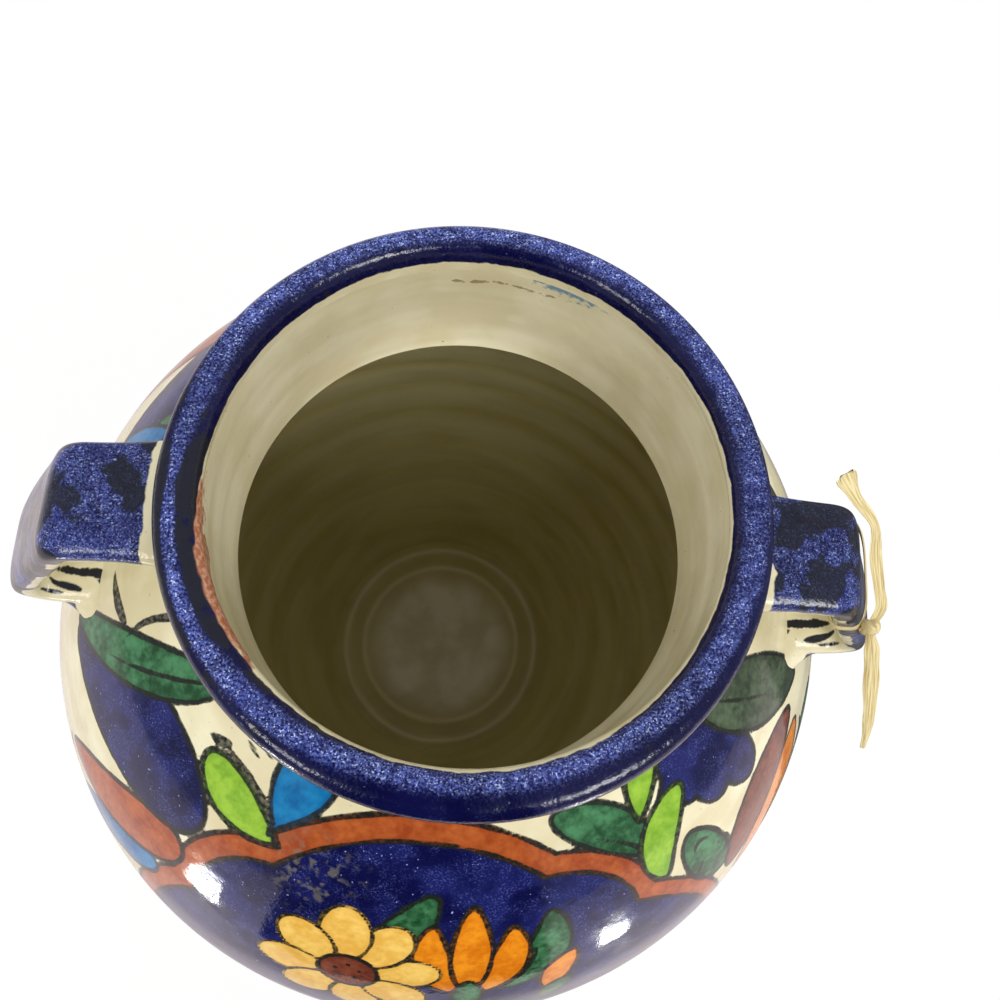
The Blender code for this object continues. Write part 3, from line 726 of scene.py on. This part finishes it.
def make_wall():
    paint_wall()
    finish = painted_glaze()
    quarter = len(AZIMUTHS) // 4
    join = int(np.argmin(np.abs(wall_rows[:, 1] - belly_height)))
    bands = (("lower", slice(0, join + 1), ["body_lower"]),
             ("upper", slice(join, len(wall_rows)), ["body_shoulder", "neck_collar"]))
    for number, side in enumerate(("left", "front", "right", "back")):
        turns = (number * quarter - quarter // 2 + np.arange(quarter + 1)) % len(AZIMUTHS)
        for band, rows, nodes in bands:
            values = {name: array[rows][:, turns] for name, array in paint.items()}
            add_grid(f"wall_{band}_{side}", wall_points[rows][:, turns], finish, "cream_glaze", nodes,
                     wall_normals[rows][:, turns], **values)


make_wall()


# Inside wall
# Below the lip a cream neck, wavy from the thrower's fingers, runs down to a crisp throat. Under it
# the vase opens out, with a ridge for every climb of the hand, to a floor with two raised rings
# about a smooth disc. Down there the glaze is thin and honey-brown, a colour darkened further as
# painted shade for the little light that reaches in, and bare clay shows by the lip.

THROAT_RADIUS = 0.0805
COLLAR_HOLLOW = 0.0012
WALL = 0.0095
FLOOR_THICKNESS = 0.009
FLOOR_INSET = 0.0185
FLOOR_RINGS = (0.059, 0.073)
FLOOR_RING_HEIGHT = 0.0012
FLOOR_RING_WIDTH = 0.006
FLOOR_DISC = 0.050         # radius of the smooth disc, paler with a painted reflection
NECK_TOP = 0.0035          # by which the lip reaches down inside past its own middle
NECK_WAVES = 2.4
BODY_STEP = 0.0018
RIDGE_PITCH = 0.024        # climb of the thrower's hand in one turn of the wheel
RIDGE_DEPTH = 0.001
SWIRL_PITCH = 0.009
NO_MARK = -20.0            # value of a mark that a piece doesn't have
mouth_radius = THROAT_RADIUS - 0.0021
lip_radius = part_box("rim_roll")[1][0]
neck_top_height = LIP_HEIGHT - NECK_TOP
inside_radius = belly_radius - WALL


def inside_profiles():
    """Radius and height down the neck, down the body and across the floor, as three profiles.

    The neck bellies out by a half sine. The body is an ellipse over a parabola, a wall's
    thickness inside the outer ones. The floor is flat but for two rounded rings.
    """
    rise = shoulder_rise - WALL
    throat_turn = math.acos(THROAT_RADIUS / inside_radius)
    throat_height = belly_height + rise * math.sin(throat_turn)
    share = np.linspace(0, 1, 80)
    neck_radius = mouth_radius + (THROAT_RADIUS - mouth_radius) * share
    neck_radius = neck_radius + COLLAR_HOLLOW * np.sin(math.pi * share)
    neck = np.stack((neck_radius, neck_top_height + (throat_height - neck_top_height) * share), axis=1)
    floor_radius = foot_radius - FLOOR_INSET
    floor_height = base_height + FLOOR_THICKNESS
    lower, upper = wall_curves(floor_radius, inside_radius, floor_height, rise,
                               np.linspace(0, 1, 200)[1:], np.linspace(throat_turn, 0.0, 200))
    flat = np.linspace(floor_radius, PINHOLE, 120)
    bumped = sum(np.exp(-((flat - ring) / (FLOOR_RING_WIDTH * 0.36)) ** 2) for ring in FLOOR_RINGS)
    bottom = np.stack((flat, floor_height + FLOOR_RING_HEIGHT * bumped), axis=1)
    return neck, np.vstack((upper, lower)), bottom


def ragged(tree, name, size_mm, detail, amount):
    """A piece's own value with an edge torn by noise."""
    return calculate("ADD", value_of(tree, name), drift(tree, size_mm, detail, amount))


def inside_glaze():
    finish, tree = new_finish("thin_glaze_and_painted_shade")
    # The same cream inside as out; below the throat it turns a duller honey-brown, partly thinner
    # glaze and partly painted shade where little light falls
    place = add_node(tree, "TexCoord").outputs["Object"]
    height = add_node(tree, "SeparateXYZ", i0=place).outputs[2]
    cream = mottle(tree, "#E3D9B3", ("#EFE7C8", 24, 3, 0.36, 0.64, 1),
                   ("#D2C59D", 30, 2, 0.42, 0.64, 0.35, (0.3, 0.3, 2.5)))
    honey = mottle(tree, "#B8AC72", ("#C5BA82", 30, 3, 0.38, 0.62, 1, (0.4, 0.4, 3)))
    # Cream above the throat, honey-brown below it, which is partly painted shade
    colour = blend(ramp(height, 0.338, 0.285), cream, honey)
    # Paler blotches on the smooth floor disc are a painted reflection of the light above the mouth
    painted_floor_sheen = calculate("MULTIPLY", ramp(grain(tree, 22, 3), 0.36, 0.66, 0.55, 1),
                      ramp(value_of(tree, "disc"), -1.0, 1.0))
    pits = ramp(grain(tree, 2, 1), 0.79, 0.82)
    bare = ramp(ragged(tree, "bare", 6, 4, 22), -0.8, 1.6, 0, 0.9)
    # Ridge crests and floor rings are lighter: the glaze breaks thin over them, and the lightening also
    # paints the light they catch
    for factor, over in ((painted_floor_sheen, "#F0EADC"), (value_of(tree, "crest"), "#F6EFD6"),
                         (calculate("MULTIPLY", pits, 0.8), "#5B4930"),
                         (bare, mottle(tree, "#A25D42", ("#C99A80", 2, 3, 0.4, 0.62, 1))),
                         (ramp(ragged(tree, "smear", 2.5, 4, 12), -1, 1.5, 0, 0.8), "#3E7FA8"),
                         (ramp(ragged(tree, "seam", 3, 3, 6), 0.3, 1, 0, 0.75), "#8A744C")):
        colour = blend(factor, colour, over)
    close_finish(tree, Base_Color=colour, Roughness=ramp(height, 0.33, 0.318, 0.2, 0.36), IOR=1.45,
                 Normal=bumps((grain(tree, 1.2), 0.03), (grain(tree, 7), 0.15), (pits, -0.12),
                              (bare, -0.15)))
    return finish


def degrees_from(azimuth):
    """How many degrees round the vase each of its azimuths lies from one."""
    return np.abs((np.degrees(AZIMUTHS) - azimuth + 180) % 360 - 180)


def make_inside():
    finish = inside_glaze()
    neck, body, bottom = inside_profiles()
    unmarked = dict.fromkeys(("bare", "smear", "seam", "disc"), NO_MARK)
    neck = resample(neck, 0.0009)
    radius, height = neck[:, :1], neck[:, 1:]
    share = (neck_top_height - height) / (neck_top_height - neck[-1, 1])
    fingers = 0.0001 * np.sin(2 * math.pi * share * NECK_WAVES + 0.8 * np.sin(AZIMUTHS))
    points = turned_grid(radius - fingers * np.sin(math.pi * share), height, AZIMUTHS)
    # Bare clay at the left under the lip, a blue smear at the far side and a seam near it
    bare = 5.5 - (neck_top_height - height) * 550 - (degrees_from(-158) / 9.0) ** 2
    smear = 3.5 - degrees_from(70) * 0.36 - np.abs(height - 0.3935) * 900
    seam = 1.3 - np.abs(height - 0.3865 - 0.0006 * np.sin(AZIMUTHS * 22)) * 1200
    seam = seam - np.maximum(degrees_from(86) - 12, 0) * 0.3
    add_grid("inside_neck", points, finish, "cream_glaze", ["neck_collar", "body_shoulder"],
             **(unmarked | {"bare": bare, "smear": smear, "seam": seam}))

    body = resample(body, BODY_STEP)
    slope = unit(np.gradient(body, axis=0))
    length = np.arange(len(body))[:, None] * BODY_STEP
    # Finger ridges: a broad wave for each turn of the wheel, and a faint one between
    around = AZIMUTHS[::2]
    sway = 0.9 * np.sin(length / 0.013) + 0.35 * np.sin(2 * around + 1.3)
    phase = 2 * math.pi * length / RIDGE_PITCH + around + sway
    fade = np.clip(length / 0.012, 0, 1) * np.clip((length[-1] - length) / 0.15, 0.25, 1)
    ridge = (0.5 + 0.5 * np.sin(phase) + 0.14 * np.sin(2 * phase + 1.1)) * fade
    radius = body[:, :1] + slope[:, 1:] * RIDGE_DEPTH * ridge
    height = body[:, 1:] - slope[:, :1] * RIDGE_DEPTH * ridge
    # The crest value lightens the ridge tops: thinner glaze there, and painted highlight on them
    add_grid("inside_body", turned_grid(radius, height, around), finish, "cream_glaze",
             ["body_lower", "body_shoulder"], crest=0.2 * ridge, **unmarked)

    radius, height = bottom[:, :1], bottom[:, 1:]
    swirl = 0.00003 * np.sin(2 * math.pi * radius / SWIRL_PITCH - AZIMUTHS)
    swirl = swirl * np.clip((FLOOR_RINGS[0] - 0.006 - radius) / 0.02, 0, 1) * (radius > 0.002)
    # The raised rings are lightened the same way: thinner glaze, and painted highlight on them
    add_grid("inside_floor", turned_grid(radius, height + swirl, AZIMUTHS), finish, "cream_glaze",
             ["body_lower"], cap="last", crest=0.55 * (height - height[-1]) / FLOOR_RING_HEIGHT,
             **(unmarked | {"disc": (FLOOR_DISC - radius) * 90}))


make_inside()


# Rolled lip
# A thick rope-like roll of clay closes the mouth. It is dipped by brush in cobalt that boiled to a
# dense pale speckle, ran thin along the crown, and ends in a wavering edge just inside the mouth.

LIP_DEPTH = 0.0075
LIP_SQUARENESS = 2.5       # exponent of its crown's oblong section
MOUTH_NARROWING = 0.0011   # by which the roll leans into the mouth, twice this at the front


def cobalt_over_cream():
    finish, tree = new_finish("speckled_cobalt_glaze")
    # Wet-looking dark blue, speckled like frost, over cream that shows past its wavering edge
    wash = blend(ramp(value_of(tree, "thick"), 0.0, 1.0, 0.0, 0.8), cobalt_wash(tree), "#070730")
    thin = calculate("MULTIPLY", value_of(tree, "thin"), ramp(grain(tree, 4, 4), 0.34, 0.62, 0.36, 1))
    for over, size_mm, detail, *ends in (("#5C6CB8", 0.7, 3, 0.37, 0.67), ("#B8C4EC", 0.6, 1, 0.58, 0.72)):
        wash = blend(calculate("MULTIPLY", thin, ramp(grain(tree, size_mm, detail), *ends)), wash, over)
    # Charcoal patches over the blue are a painted dark reflection of the surroundings
    scorched = calculate("ADD", grain(tree, 14, 3), value_of(tree, "scorched"))
    wash = blend(ramp(scorched, 0.7, 0.75, 0.0, 0.88), wash, "#1C1E26")
    clay = mottle(tree, "#9E5A40", ("#C08D72", 1.5, 3, 0.4, 0.62, 1))
    worn = ramp(ragged(tree, "bare", 5, 4, 9), -0.5, 1.2, 0, 0.95)
    cream = blend(worn, cream_ground(tree), clay)
    colour = blend(ramp(ragged(tree, "blue", 6, 3, 2.8), -0.3, 0.35), cream, wash)
    close_finish(tree, Base_Color=colour, IOR=1.5, Specular_IOR_Level=0.45,
                 Roughness=ramp(grain(tree, 8), 0.3, 0.7, 0.1, 0.2),
                 Normal=bumps((grain(tree, 0.9), 0.1), (grain(tree, 4, 1), 0.16),
                              (grain(tree, 16), 0.3)))
    return finish


speckled_cobalt = cobalt_over_cream()


def oblong(value, squareness):
    """A sine or cosine drawn out so that the section it makes is a rounded oblong."""
    return np.sign(value) * np.abs(value) ** (2 / squareness)


# Round the lip, by azimuth in degrees: the middle and half width of its thin speckled strip, as
# shares of the crown's half width outwards from its middle, how strong the strip is, how much
# painted dark reflection lies there, and how many millimetres above its widest line the blue
# ends inside
LIP_GLAZE = ((-180, -0.05, 0.27, 0.8, 0.3, 1.6), (-165, 0.1, 0.26, 1.35, 0.26, 4.6),
             (-150, 0.14, 0.3, 1.2, 0.27, 5.2), (-135, -0.1, 0.36, 1.0, 0.22, 4.6),
             (-120, -0.3, 0.34, 0.95, 0.14, 4.1), (-105, -0.5, 0.34, 0.95, 0.1, 4.2),
             (-90, -0.56, 0.34, 0.92, 0.08, 4.2), (-60, -0.52, 0.33, 0.85, 0.06, 3.8),
             (-30, -0.28, 0.38, 0.78, 0.08, 2.6), (0, -0.1, 0.6, 0.58, 0.04, 2.0),
             (45, 0.2, 0.62, 1.0, 0.0, 0.6), (90, 0.3, 0.68, 1.2, 0.0, 0.0),
             (150, 0.2, 0.64, 1.0, 0.06, 0.0), (165, -0.1, 0.5, 0.55, 0.24, 0.2),
             (180, -0.05, 0.27, 0.8, 0.3, 1.6))


def make_lip():
    under = np.linspace(math.pi / 2, 0.0, 24)
    over = np.linspace(0, math.pi, 70)[1:]
    middle, half_width = (lip_radius + mouth_radius) / 2, (lip_radius - mouth_radius) / 2
    overhang = np.stack((COLLAR_RADIUS + (lip_radius - COLLAR_RADIUS) * np.cos(under),
                         LIP_HEIGHT - LIP_DEPTH * np.sin(under)), axis=1)
    crown = np.stack((middle + half_width * oblong(np.cos(over), LIP_SQUARENESS),
                      LIP_HEIGHT + LIP_CROWN * oblong(np.sin(over).clip(0, 1), LIP_SQUARENESS)), axis=1)
    inside = [(mouth_radius, LIP_HEIGHT - step) for step in np.linspace(0.0005, NECK_TOP + 0.0006, 8)]
    start = (COLLAR_RADIUS - 0.001, LIP_HEIGHT - LIP_DEPTH)
    profile = resample(np.vstack((start, overhang, crown, inside)), 0.0005)
    radius, height = profile[:, :1], profile[:, 1:]
    # Hand-made roll: its inner side leans in towards the front, and its crown dips in long waves
    across = (radius - middle) / half_width
    above = np.clip((height - LIP_HEIGHT + NECK_TOP) / NECK_TOP, 0, 1)
    lean = MOUTH_NARROWING * (1 + np.cos(AZIMUTHS + math.radians(80))) * np.clip(-2 * across, 0, 1) * above
    dip = 0.0002 + 0.00015 * np.sin(2 * AZIMUTHS + 0.5) + 0.0001 * np.sin(5 * AZIMUTHS)
    dip = dip * np.clip((height - LIP_HEIGHT) / LIP_CROWN, 0, 1)
    squeeze = 0.00025 * (1 + np.sin(3 * AZIMUTHS + 1.0)) * np.clip(across, 0, 1)
    points = turned_grid(radius - lean - squeeze, height - dip, AZIMUTHS)
    known, *rows = np.array(LIP_GLAZE).T
    round_lip = [np.interp(np.degrees(AZIMUTHS), known, row) for row in rows]
    strip_middle, strip_half, strength, scorch, rise = round_lip
    thin = np.exp(-((across - strip_middle) / strip_half) ** 4) * (height > LIP_HEIGHT) * strength
    blue = np.where(radius < middle, (height - LIP_HEIGHT - 0.0003 * np.sin(4 * AZIMUTHS)) * 1000 - rise, 8.0)
    # On the left the clay is bare just inside the blue
    bare = 5.5 - (degrees_from(-157) / 9.0) ** 2 - np.abs(height - LIP_HEIGHT - 0.001) * 250
    # Charcoal on the lip is painted dark reflection, weaker where the strip runs thin
    add_grid("lip", points, speckled_cobalt, "cobalt_glaze", ["rim_roll"], thin=thin,
             thick=1 - thin, blue=blue, bare=bare, scorched=scorch - 0.3 * thin)


make_lip()


# Strap handles
# Each ear is one flat strap: out from the collar, a tight bend, down and outwards, a second tight
# bend and back to the shoulder, where soft clay is smeared up round its roots. Its outer face is
# cobalt, its sides and inside are cream, and black-blue strokes run down the lower sides.

HANDLE_TURNS = {"right": math.radians(-2.75), "left": math.radians(182.75)}
STRAP_WIDTH = 0.0385
STRAP_THICKNESS = 0.012
STRAP_SQUARENESS = 3.3     # exponent of its rounded oblong section
STRAP_FLARE = 0.1
STRAP_FLARE_LENGTH = 0.016
HANDLE_TOP_REACH = 0.0387
HANDLE_LOW_REACH = 0.0248
HANDLE_BEND = 0.008
ROUTE_LEAD = 0.012         # length of route inside the collar
LOW_LEAD = 0.030           # and inside the shoulder, whose slope the strap meets askew
SMEAR_SPREAD = 0.0062      # how far the smeared clay stands out round a root
SMEAR_REACH = 0.0095       # how far it is drawn along the strap
ROOT_SINK = 0.0008
STROKE_HALO = 1.5          # millimetres round a stroke that are as dark as it is
STRAP_ROWS = 300
STRAP_COLUMNS = 120
upper_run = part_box("handle_right")[1][2] - STRAP_THICKNESS / 2
lower_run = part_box("handle_right")[0][2] + STRAP_THICKNESS / 2
low_wall = float(wall_radius(lower_run))


def rounded_route(corners, bend):
    """Radius and height along straight runs whose inner corners are arcs of the bend radius."""
    corners = [np.array(corner) for corner in corners]
    route = [corners[0]]
    for before, corner, after in zip(corners, corners[1:], corners[2:]):
        inward, outward = unit(corner - before), unit(after - corner)
        turn = math.acos(float(inward @ outward))
        start = corner - inward * bend * math.tan(turn / 2)
        side = np.array((inward[1], -inward[0]))
        for angle in np.linspace(0, turn, 14):
            route.append(start + bend * (math.sin(angle) * inward + (1 - math.cos(angle)) * side))
    route.append(corners[-1])
    return resample(route, 0.0008)


strap_route = rounded_route([(COLLAR_RADIUS - ROUTE_LEAD, upper_run),
                             (COLLAR_RADIUS + HANDLE_TOP_REACH, upper_run),
                             (low_wall + HANDLE_LOW_REACH, lower_run), (low_wall - LOW_LEAD, lower_run)],
                            HANDLE_BEND)
route_steps = np.diff(strap_route, axis=0)
route_distance = run_length(strap_route)
route_length = float(route_distance[-1])
step_heading = np.unwrap(np.arctan2(route_steps[:, 1], route_steps[:, 0]))
route_heading = np.interp(np.arange(len(strap_route)) - 0.5, np.arange(len(step_heading)), step_heading)
route_heading = np.convolve(np.pad(route_heading, 2, "edge"), np.full(5, 0.2), "valid")


def strap_point(distance, turn, grow):
    """Outwards, across and up for a place on the strap, grown by a skin.

    The section is an oblong that stands square to the route and widens towards both roots by a
    bell of the distance to them.
    """
    distance, turn, grow = np.broadcast_arrays(distance, turn, grow)
    to_root = np.maximum(np.minimum(distance - ROUTE_LEAD, route_length - distance - LOW_LEAD), 0.0)
    flare = 1.0 + STRAP_FLARE * np.exp(-(to_root / STRAP_FLARE_LENGTH) ** 2)
    across = oblong(np.cos(turn), STRAP_SQUARENESS) * (STRAP_WIDTH / 2 * flare + grow)
    through = oblong(np.sin(turn), STRAP_SQUARENESS) * (STRAP_THICKNESS / 2 + grow)
    heading = np.interp(distance, route_distance, route_heading)
    outwards = np.interp(distance, route_distance, strap_route[:, 0]) - through * np.sin(heading)
    up = np.interp(distance, route_distance, strap_route[:, 1]) + through * np.cos(heading)
    return np.stack((outwards, across, up), axis=-1)


def turn_with_handle(points, side):
    """Points given outwards, across and up for a handle, put in their place round the vase."""
    angle = HANDLE_TURNS[side]
    outwards, across, up = np.moveaxis(points, -1, 0)
    return np.stack((outwards * math.cos(angle) - across * math.sin(angle),
                     outwards * math.sin(angle) + across * math.cos(angle), up), axis=-1)


def smear_depth(turn, along):
    """Thickness of the smeared clay where it meets the wall: five thumb marks round the root.

    Towards the outer face, at a quarter turn, it falls with the turn's sine to about half.
    """
    return SMEAR_SPREAD * (1 + 0.14 * np.sin(5 * turn + 40 * along)) * (1 - 0.48 * np.sin(turn).clip(0, 1))


def root_distance(turn, from_end):
    """Distance along the route at which each line of the smeared skin comes out of the wall."""
    tries = np.linspace(0, route_length / 2, 700)[:, None]
    along = route_length - tries if from_end else tries
    place = strap_point(along, turn, smear_depth(turn, along))
    outside = np.hypot(place[..., 0], place[..., 1]) > wall_radius(place[..., 2])
    return tries[np.argmax(outside, axis=0), 0] - ROOT_SINK


def even_turns():
    """Turns round the section that lie evenly along its edge, from the middle of its inner face."""
    turn = np.linspace(-math.pi / 2, 1.5 * math.pi, 2400)
    length = run_length(strap_point(route_length / 2, turn, 0.0))
    stops = np.linspace(0, length[-1], STRAP_COLUMNS, endpoint=False)
    return np.interp(stops, length, turn), stops - length[-1] / 2


def side_mark(along, around, start, end, width):
    """Signed distance in millimetres to a brush mark on the strap's developed skin, lengths in metres."""
    share = np.linspace(0, 1, 20)
    line = np.outer(1 - share, start) + np.outer(share, end)
    radii = width / 2 * np.sin(math.pi * share ** 0.7).clip(0, 1) ** 0.6
    gaps = np.hypot(along[..., None] - line[:, 0], around[..., None] - line[:, 1]) - radii
    return gaps.min(axis=-1) * 1000


# Brush strokes on the strap's sides and the top of its lower limb: each one's start, end and width.
# A place is its distance along the route and its distance round from the middle of the outer face.
SIDE_STROKES = (((0.16, 0.0345), (0.127, 0.0378), 0.0034), ((0.053, 0.0192), (0.052, 0.029), 0.0085),
                ((0.1455, 0.0296), (0.1265, 0.0336), 0.0028), ((0.07, 0.0275), (0.082, 0.0165), 0.015),
                ((0.1385, 0.0284), (0.123, 0.0283), 0.002), ((0.106, 0.0268), (0.117, 0.0172), 0.0042),
                ((0.154, 0.0322), (0.1505, 0.0328), 0.0024))


def make_handle(side):
    turn, around = even_turns()
    first = root_distance(turn, False)
    last = route_length - root_distance(turn, True)
    share = np.linspace(0, 1, STRAP_ROWS)[:, None]
    along = first + (last - first) * share
    from_wall = np.minimum(along - first, last - along)
    grow = smear_depth(turn, along) * np.clip(1 - from_wall / SMEAR_REACH, 0, 1) ** 2
    # Pulled by hand: it thins and thickens along its run, and never past its true section
    pulled = 0.00022 * (1 + np.sin(90 * along + turn)) + 0.00015 * (1 + np.sin(2 * turn + 55 * along))
    points = turn_with_handle(strap_point(along, turn, grow - pulled), side)
    # The columns run from the middle of the inner face right round, with the outer face half way.
    # The blue begins a little way off the collar, and on the right further off towards the front
    start = 0.013 if side == "left" else 0.011 + 0.0022 * np.clip(around / 0.004 - 1, 0, 1)
    blue = np.minimum(STRAP_WIDTH / 2 + 0.0028 - np.abs(around), along - ROUTE_LEAD - start)
    blue = np.minimum(blue, route_length - LOW_LEAD - 0.004 - along) * 1000
    strokes = np.minimum.reduce([side_mark(along, way * around, start, end, width)
                                 for start, end, width in SIDE_STROKES for way in (1, -1)])
    # Over the inked strokes: no speckle, full depth, and a stronger painted dark reflection
    thin, thick, scorched = [np.where(strokes < STROKE_HALO, inked, plain)
                             for inked, plain in ((0.0, 0.6), (1.0, 0.35), (0.36, 0.205))]
    add_grid(f"handle_{side}_glazed", points, speckled_cobalt, "cobalt_glaze",
             [f"handle_{side}", f"lute_{side}_neck", f"lute_{side}_shoulder"], thin=thin, thick=thick,
             scorched=scorched, bare=NO_MARK, blue=np.maximum(blue, -strokes))


for handle_side in HANDLE_TURNS:
    make_handle(handle_side)


# Raffia tie
# A dry, folded strip of raffia goes round the right strap under its upper bend and is knotted at the
# front edge. One tail stands up behind the strap to a frayed, flared end, the other hangs forward
# and tapers to a point.

RAFFIA_WIDTH = 0.006
RAFFIA_THICKNESS = 0.0008
RAFFIA_SQUARENESS = 2 / 0.6  # exponent of its flat section
RAFFIA_DROP = 0.012        # along the strap, from the upper bend to the tie
RAFFIA_SKEW = 0.003
RAFFIA_LIFT = 0.0003       # loop off the strap
KNOT_RADIUS = 0.0032
KNOT_LENGTH = 0.0046
KNOT_TURN = math.radians(140)
STRAND_RADIUS = 0.00125
LOOP_LENGTH = 0.105
KNOT_RUN = 0.040           # length of strip in the knot
# Each tail's points run (outwards, along +Y, up) from the knot's middle
FLARED_TAIL = ((0.0, 0.0, 0.0), (0.001, 0.006, 0.005), (-0.0018, 0.012, 0.009), (-0.0055, 0.021, 0.014),
               (-0.009, 0.029, 0.02), (-0.0175, 0.035, 0.025), (-0.023, 0.041, 0.028))
FLARED_TAIL_WIDTHS = (0.003, 0.0045, 0.005, 0.005, 0.004, 0.005, 0.009)
LONG_TAIL = ((0.0, 0.0, 0.0), (0.0015, -0.007, -0.0015), (0.0025, -0.015, -0.004), (0.004, -0.023, -0.008),
             (0.006, -0.031, -0.0135), (0.0075, -0.038, -0.02))
LONG_TAIL_WIDTHS = (0.003, 0.006, 0.0065, 0.006, 0.0045, 0.0022)


def raffia_finish():
    finish, tree = new_finish("dry_raffia")
    # Straw-coloured palm leaf: dull, with fine lengthwise fibres and a few darker ones
    run = add_node(tree, "CombineXYZ", X=value_of(tree, "run"), Y=value_of(tree, "side"))
    fibre = grain(tree, 1000.0 * 0.35, 3, (0.03, 1, 1), run.outputs[0])
    colour = blend(ramp(fibre, 0.35, 0.62), "#B49B5E", "#E2D3A2")
    colour = blend(ramp(fibre, 0.66, 0.72, 0.0, 0.7), colour, "#8A6F3C")
    close_finish(tree, Base_Color=colour, Roughness=0.58, Specular_IOR_Level=0.35,
                 Normal=bumps((fibre, 0.16)))
    return finish


dry_raffia = raffia_finish()


def add_raffia(name, points, **values):
    """Piece of the strip from a grid of points given outwards, across and up."""
    add_grid(name, turn_with_handle(points, "right"), dry_raffia, "raffia", ["raffia_tie"], **values)


def full_turn(count):
    """Angles spread evenly once round."""
    return np.linspace(0, 2 * math.pi, count, endpoint=False)


def smooth_through(points, per_span):
    """Curve that runs, between two points, parallel to the line through their neighbours."""
    points = np.array(points)
    padded = np.vstack((2 * points[0] - points[1], points, 2 * points[-1] - points[-2]))
    share = np.linspace(0, 1, per_span, endpoint=False)[:, None]
    spans = [0.5 * (2 * start + (end - before) * share
                    + (2 * before - 5 * start + 4 * end - after) * share ** 2
                    + (3 * start - before - 3 * end + after) * share ** 3)
             for before, start, end, after in zip(padded, padded[1:], padded[2:], padded[3:])]
    return np.vstack(spans + [points[-1:]])


def add_tail(name, places, widths, knot_middle, fold, fray=0.0):
    """Tail along a smooth line: its section is a thin flat loop bent to a shallow V by the fold.

    The fray pulls the last points back and forth along the strip, saw-tooth fashion.
    """
    middle = smooth_through(knot_middle + np.array(places), 26)
    share = np.linspace(0, 1, len(middle))
    width = np.interp(share, np.linspace(0, 1, len(widths)), widths)
    width = (width * (1 - 0.06 * (1 + np.sin(23 * share))) * 0.96)[:, None]
    ahead = unit(np.gradient(middle, axis=0))
    level = unit(np.cross(ahead, (0.0, 0.0, 1.0)))
    upward = np.cross(level, ahead)
    turn = full_turn(28)
    across = oblong(np.cos(turn), RAFFIA_SQUARENESS)
    through = np.sin(turn) * 0.5 * RAFFIA_THICKNESS * (1 - 0.5 * across ** 2)
    bent = fold * (np.abs(across) - 0.5) * width / 2
    ripple = 0.00009 * np.sin(9 * across + 0.2 * np.arange(len(middle))[:, None])
    teeth = fray * (np.abs((across * 2.3) % 1.0 - 0.5) * 2 - 0.8) * np.clip(share[:, None] * 5 - 4, 0, 1) ** 2
    points = middle[:, None, :] + sum(way[:, None, :] * size[..., None] for way, size in (
        (level, across * width / 2), (upward, through + bent + ripple), (ahead, teeth)))
    add_raffia(name, points, cap="last", run=run_length(middle)[:, None] * 1000,
               side=across * np.mean(width) * 500 + np.sign(np.sin(turn)) * 9)


def make_raffia():
    corner = np.array((COLLAR_RADIUS + HANDLE_TOP_REACH, upper_run))
    fall = np.array((low_wall + HANDLE_LOW_REACH, lower_run)) - corner
    bend = -math.atan2(fall[1], fall[0])
    bend_end = HANDLE_TOP_REACH + ROUTE_LEAD - HANDLE_BEND * math.tan(bend / 2)
    middle = bend_end + HANDLE_BEND * bend + RAFFIA_DROP

    # The loop leans along the strap from its middle to its side, and is drawn into a shallow gutter
    turn = full_turn(240) + KNOT_TURN
    lean = middle + RAFFIA_SKEW * oblong(np.cos(turn), STRAP_SQUARENESS)
    section = full_turn(22)
    across = oblong(np.cos(section), RAFFIA_SQUARENESS)
    pinch = 1 - 0.25 * np.exp(-((turn - KNOT_TURN - math.pi) / 3.0) ** 10)
    along = lean[:, None] + across * (RAFFIA_WIDTH / 2 * (1.15 - 0.35 * pinch))[:, None]
    skin = RAFFIA_LIFT + RAFFIA_THICKNESS * (0.5 + 0.45 * np.sin(section))
    skin = skin + 0.00008 * np.sin(7 * across + 3 * turn[:, None])
    loop = strap_point(along, turn[:, None], skin)
    loop = np.concatenate((loop, loop[:1]))[::-1]
    add_raffia("raffia_loop", loop, run=np.linspace(0, LOOP_LENGTH, len(loop))[:, None] * 1000,
               side=across * 3 + np.sign(np.sin(section)) * 9)

    # Overhand knot: a trefoil line, drawn tight, with a flattened strand along it
    knot_middle = strap_point(middle - RAFFIA_SKEW, np.array([KNOT_TURN]), RAFFIA_LIFT + KNOT_RADIUS)[0]
    share = full_turn(200)
    trefoil = np.stack((np.sin(share) + 2 * np.sin(2 * share), -1.2 * np.sin(3 * share),
                        np.cos(share) - 2 * np.cos(2 * share)), axis=1)
    tight = KNOT_RADIUS - STRAND_RADIUS
    line = trefoil / 3.0 * (tight, tight * 1.6, KNOT_LENGTH - STRAND_RADIUS)
    ahead = unit(np.roll(line, -1, axis=0) - np.roll(line, 1, axis=0))
    away = unit(line - (line * ahead).sum(axis=1)[:, None] * ahead)
    ring = full_turn(18)
    tube = (knot_middle + line[:, None, :]
            + np.cross(ahead, away)[:, None, :] * (1.35 * STRAND_RADIUS * np.cos(ring))[:, None]
            + away[:, None, :] * (0.8 * STRAND_RADIUS * np.sin(ring))[:, None])
    tube = np.concatenate((tube, tube[:1]))
    add_raffia("raffia_knot", tube, run=np.linspace(0, KNOT_RUN, len(tube))[:, None] * 1000, side=ring * 2)

    add_tail("raffia_flared_tail", FLARED_TAIL, FLARED_TAIL_WIDTHS, knot_middle, 0.35, 0.0022)
    add_tail("raffia_long_tail", LONG_TAIL, LONG_TAIL_WIDTHS, knot_middle, -0.3)


make_raffia()
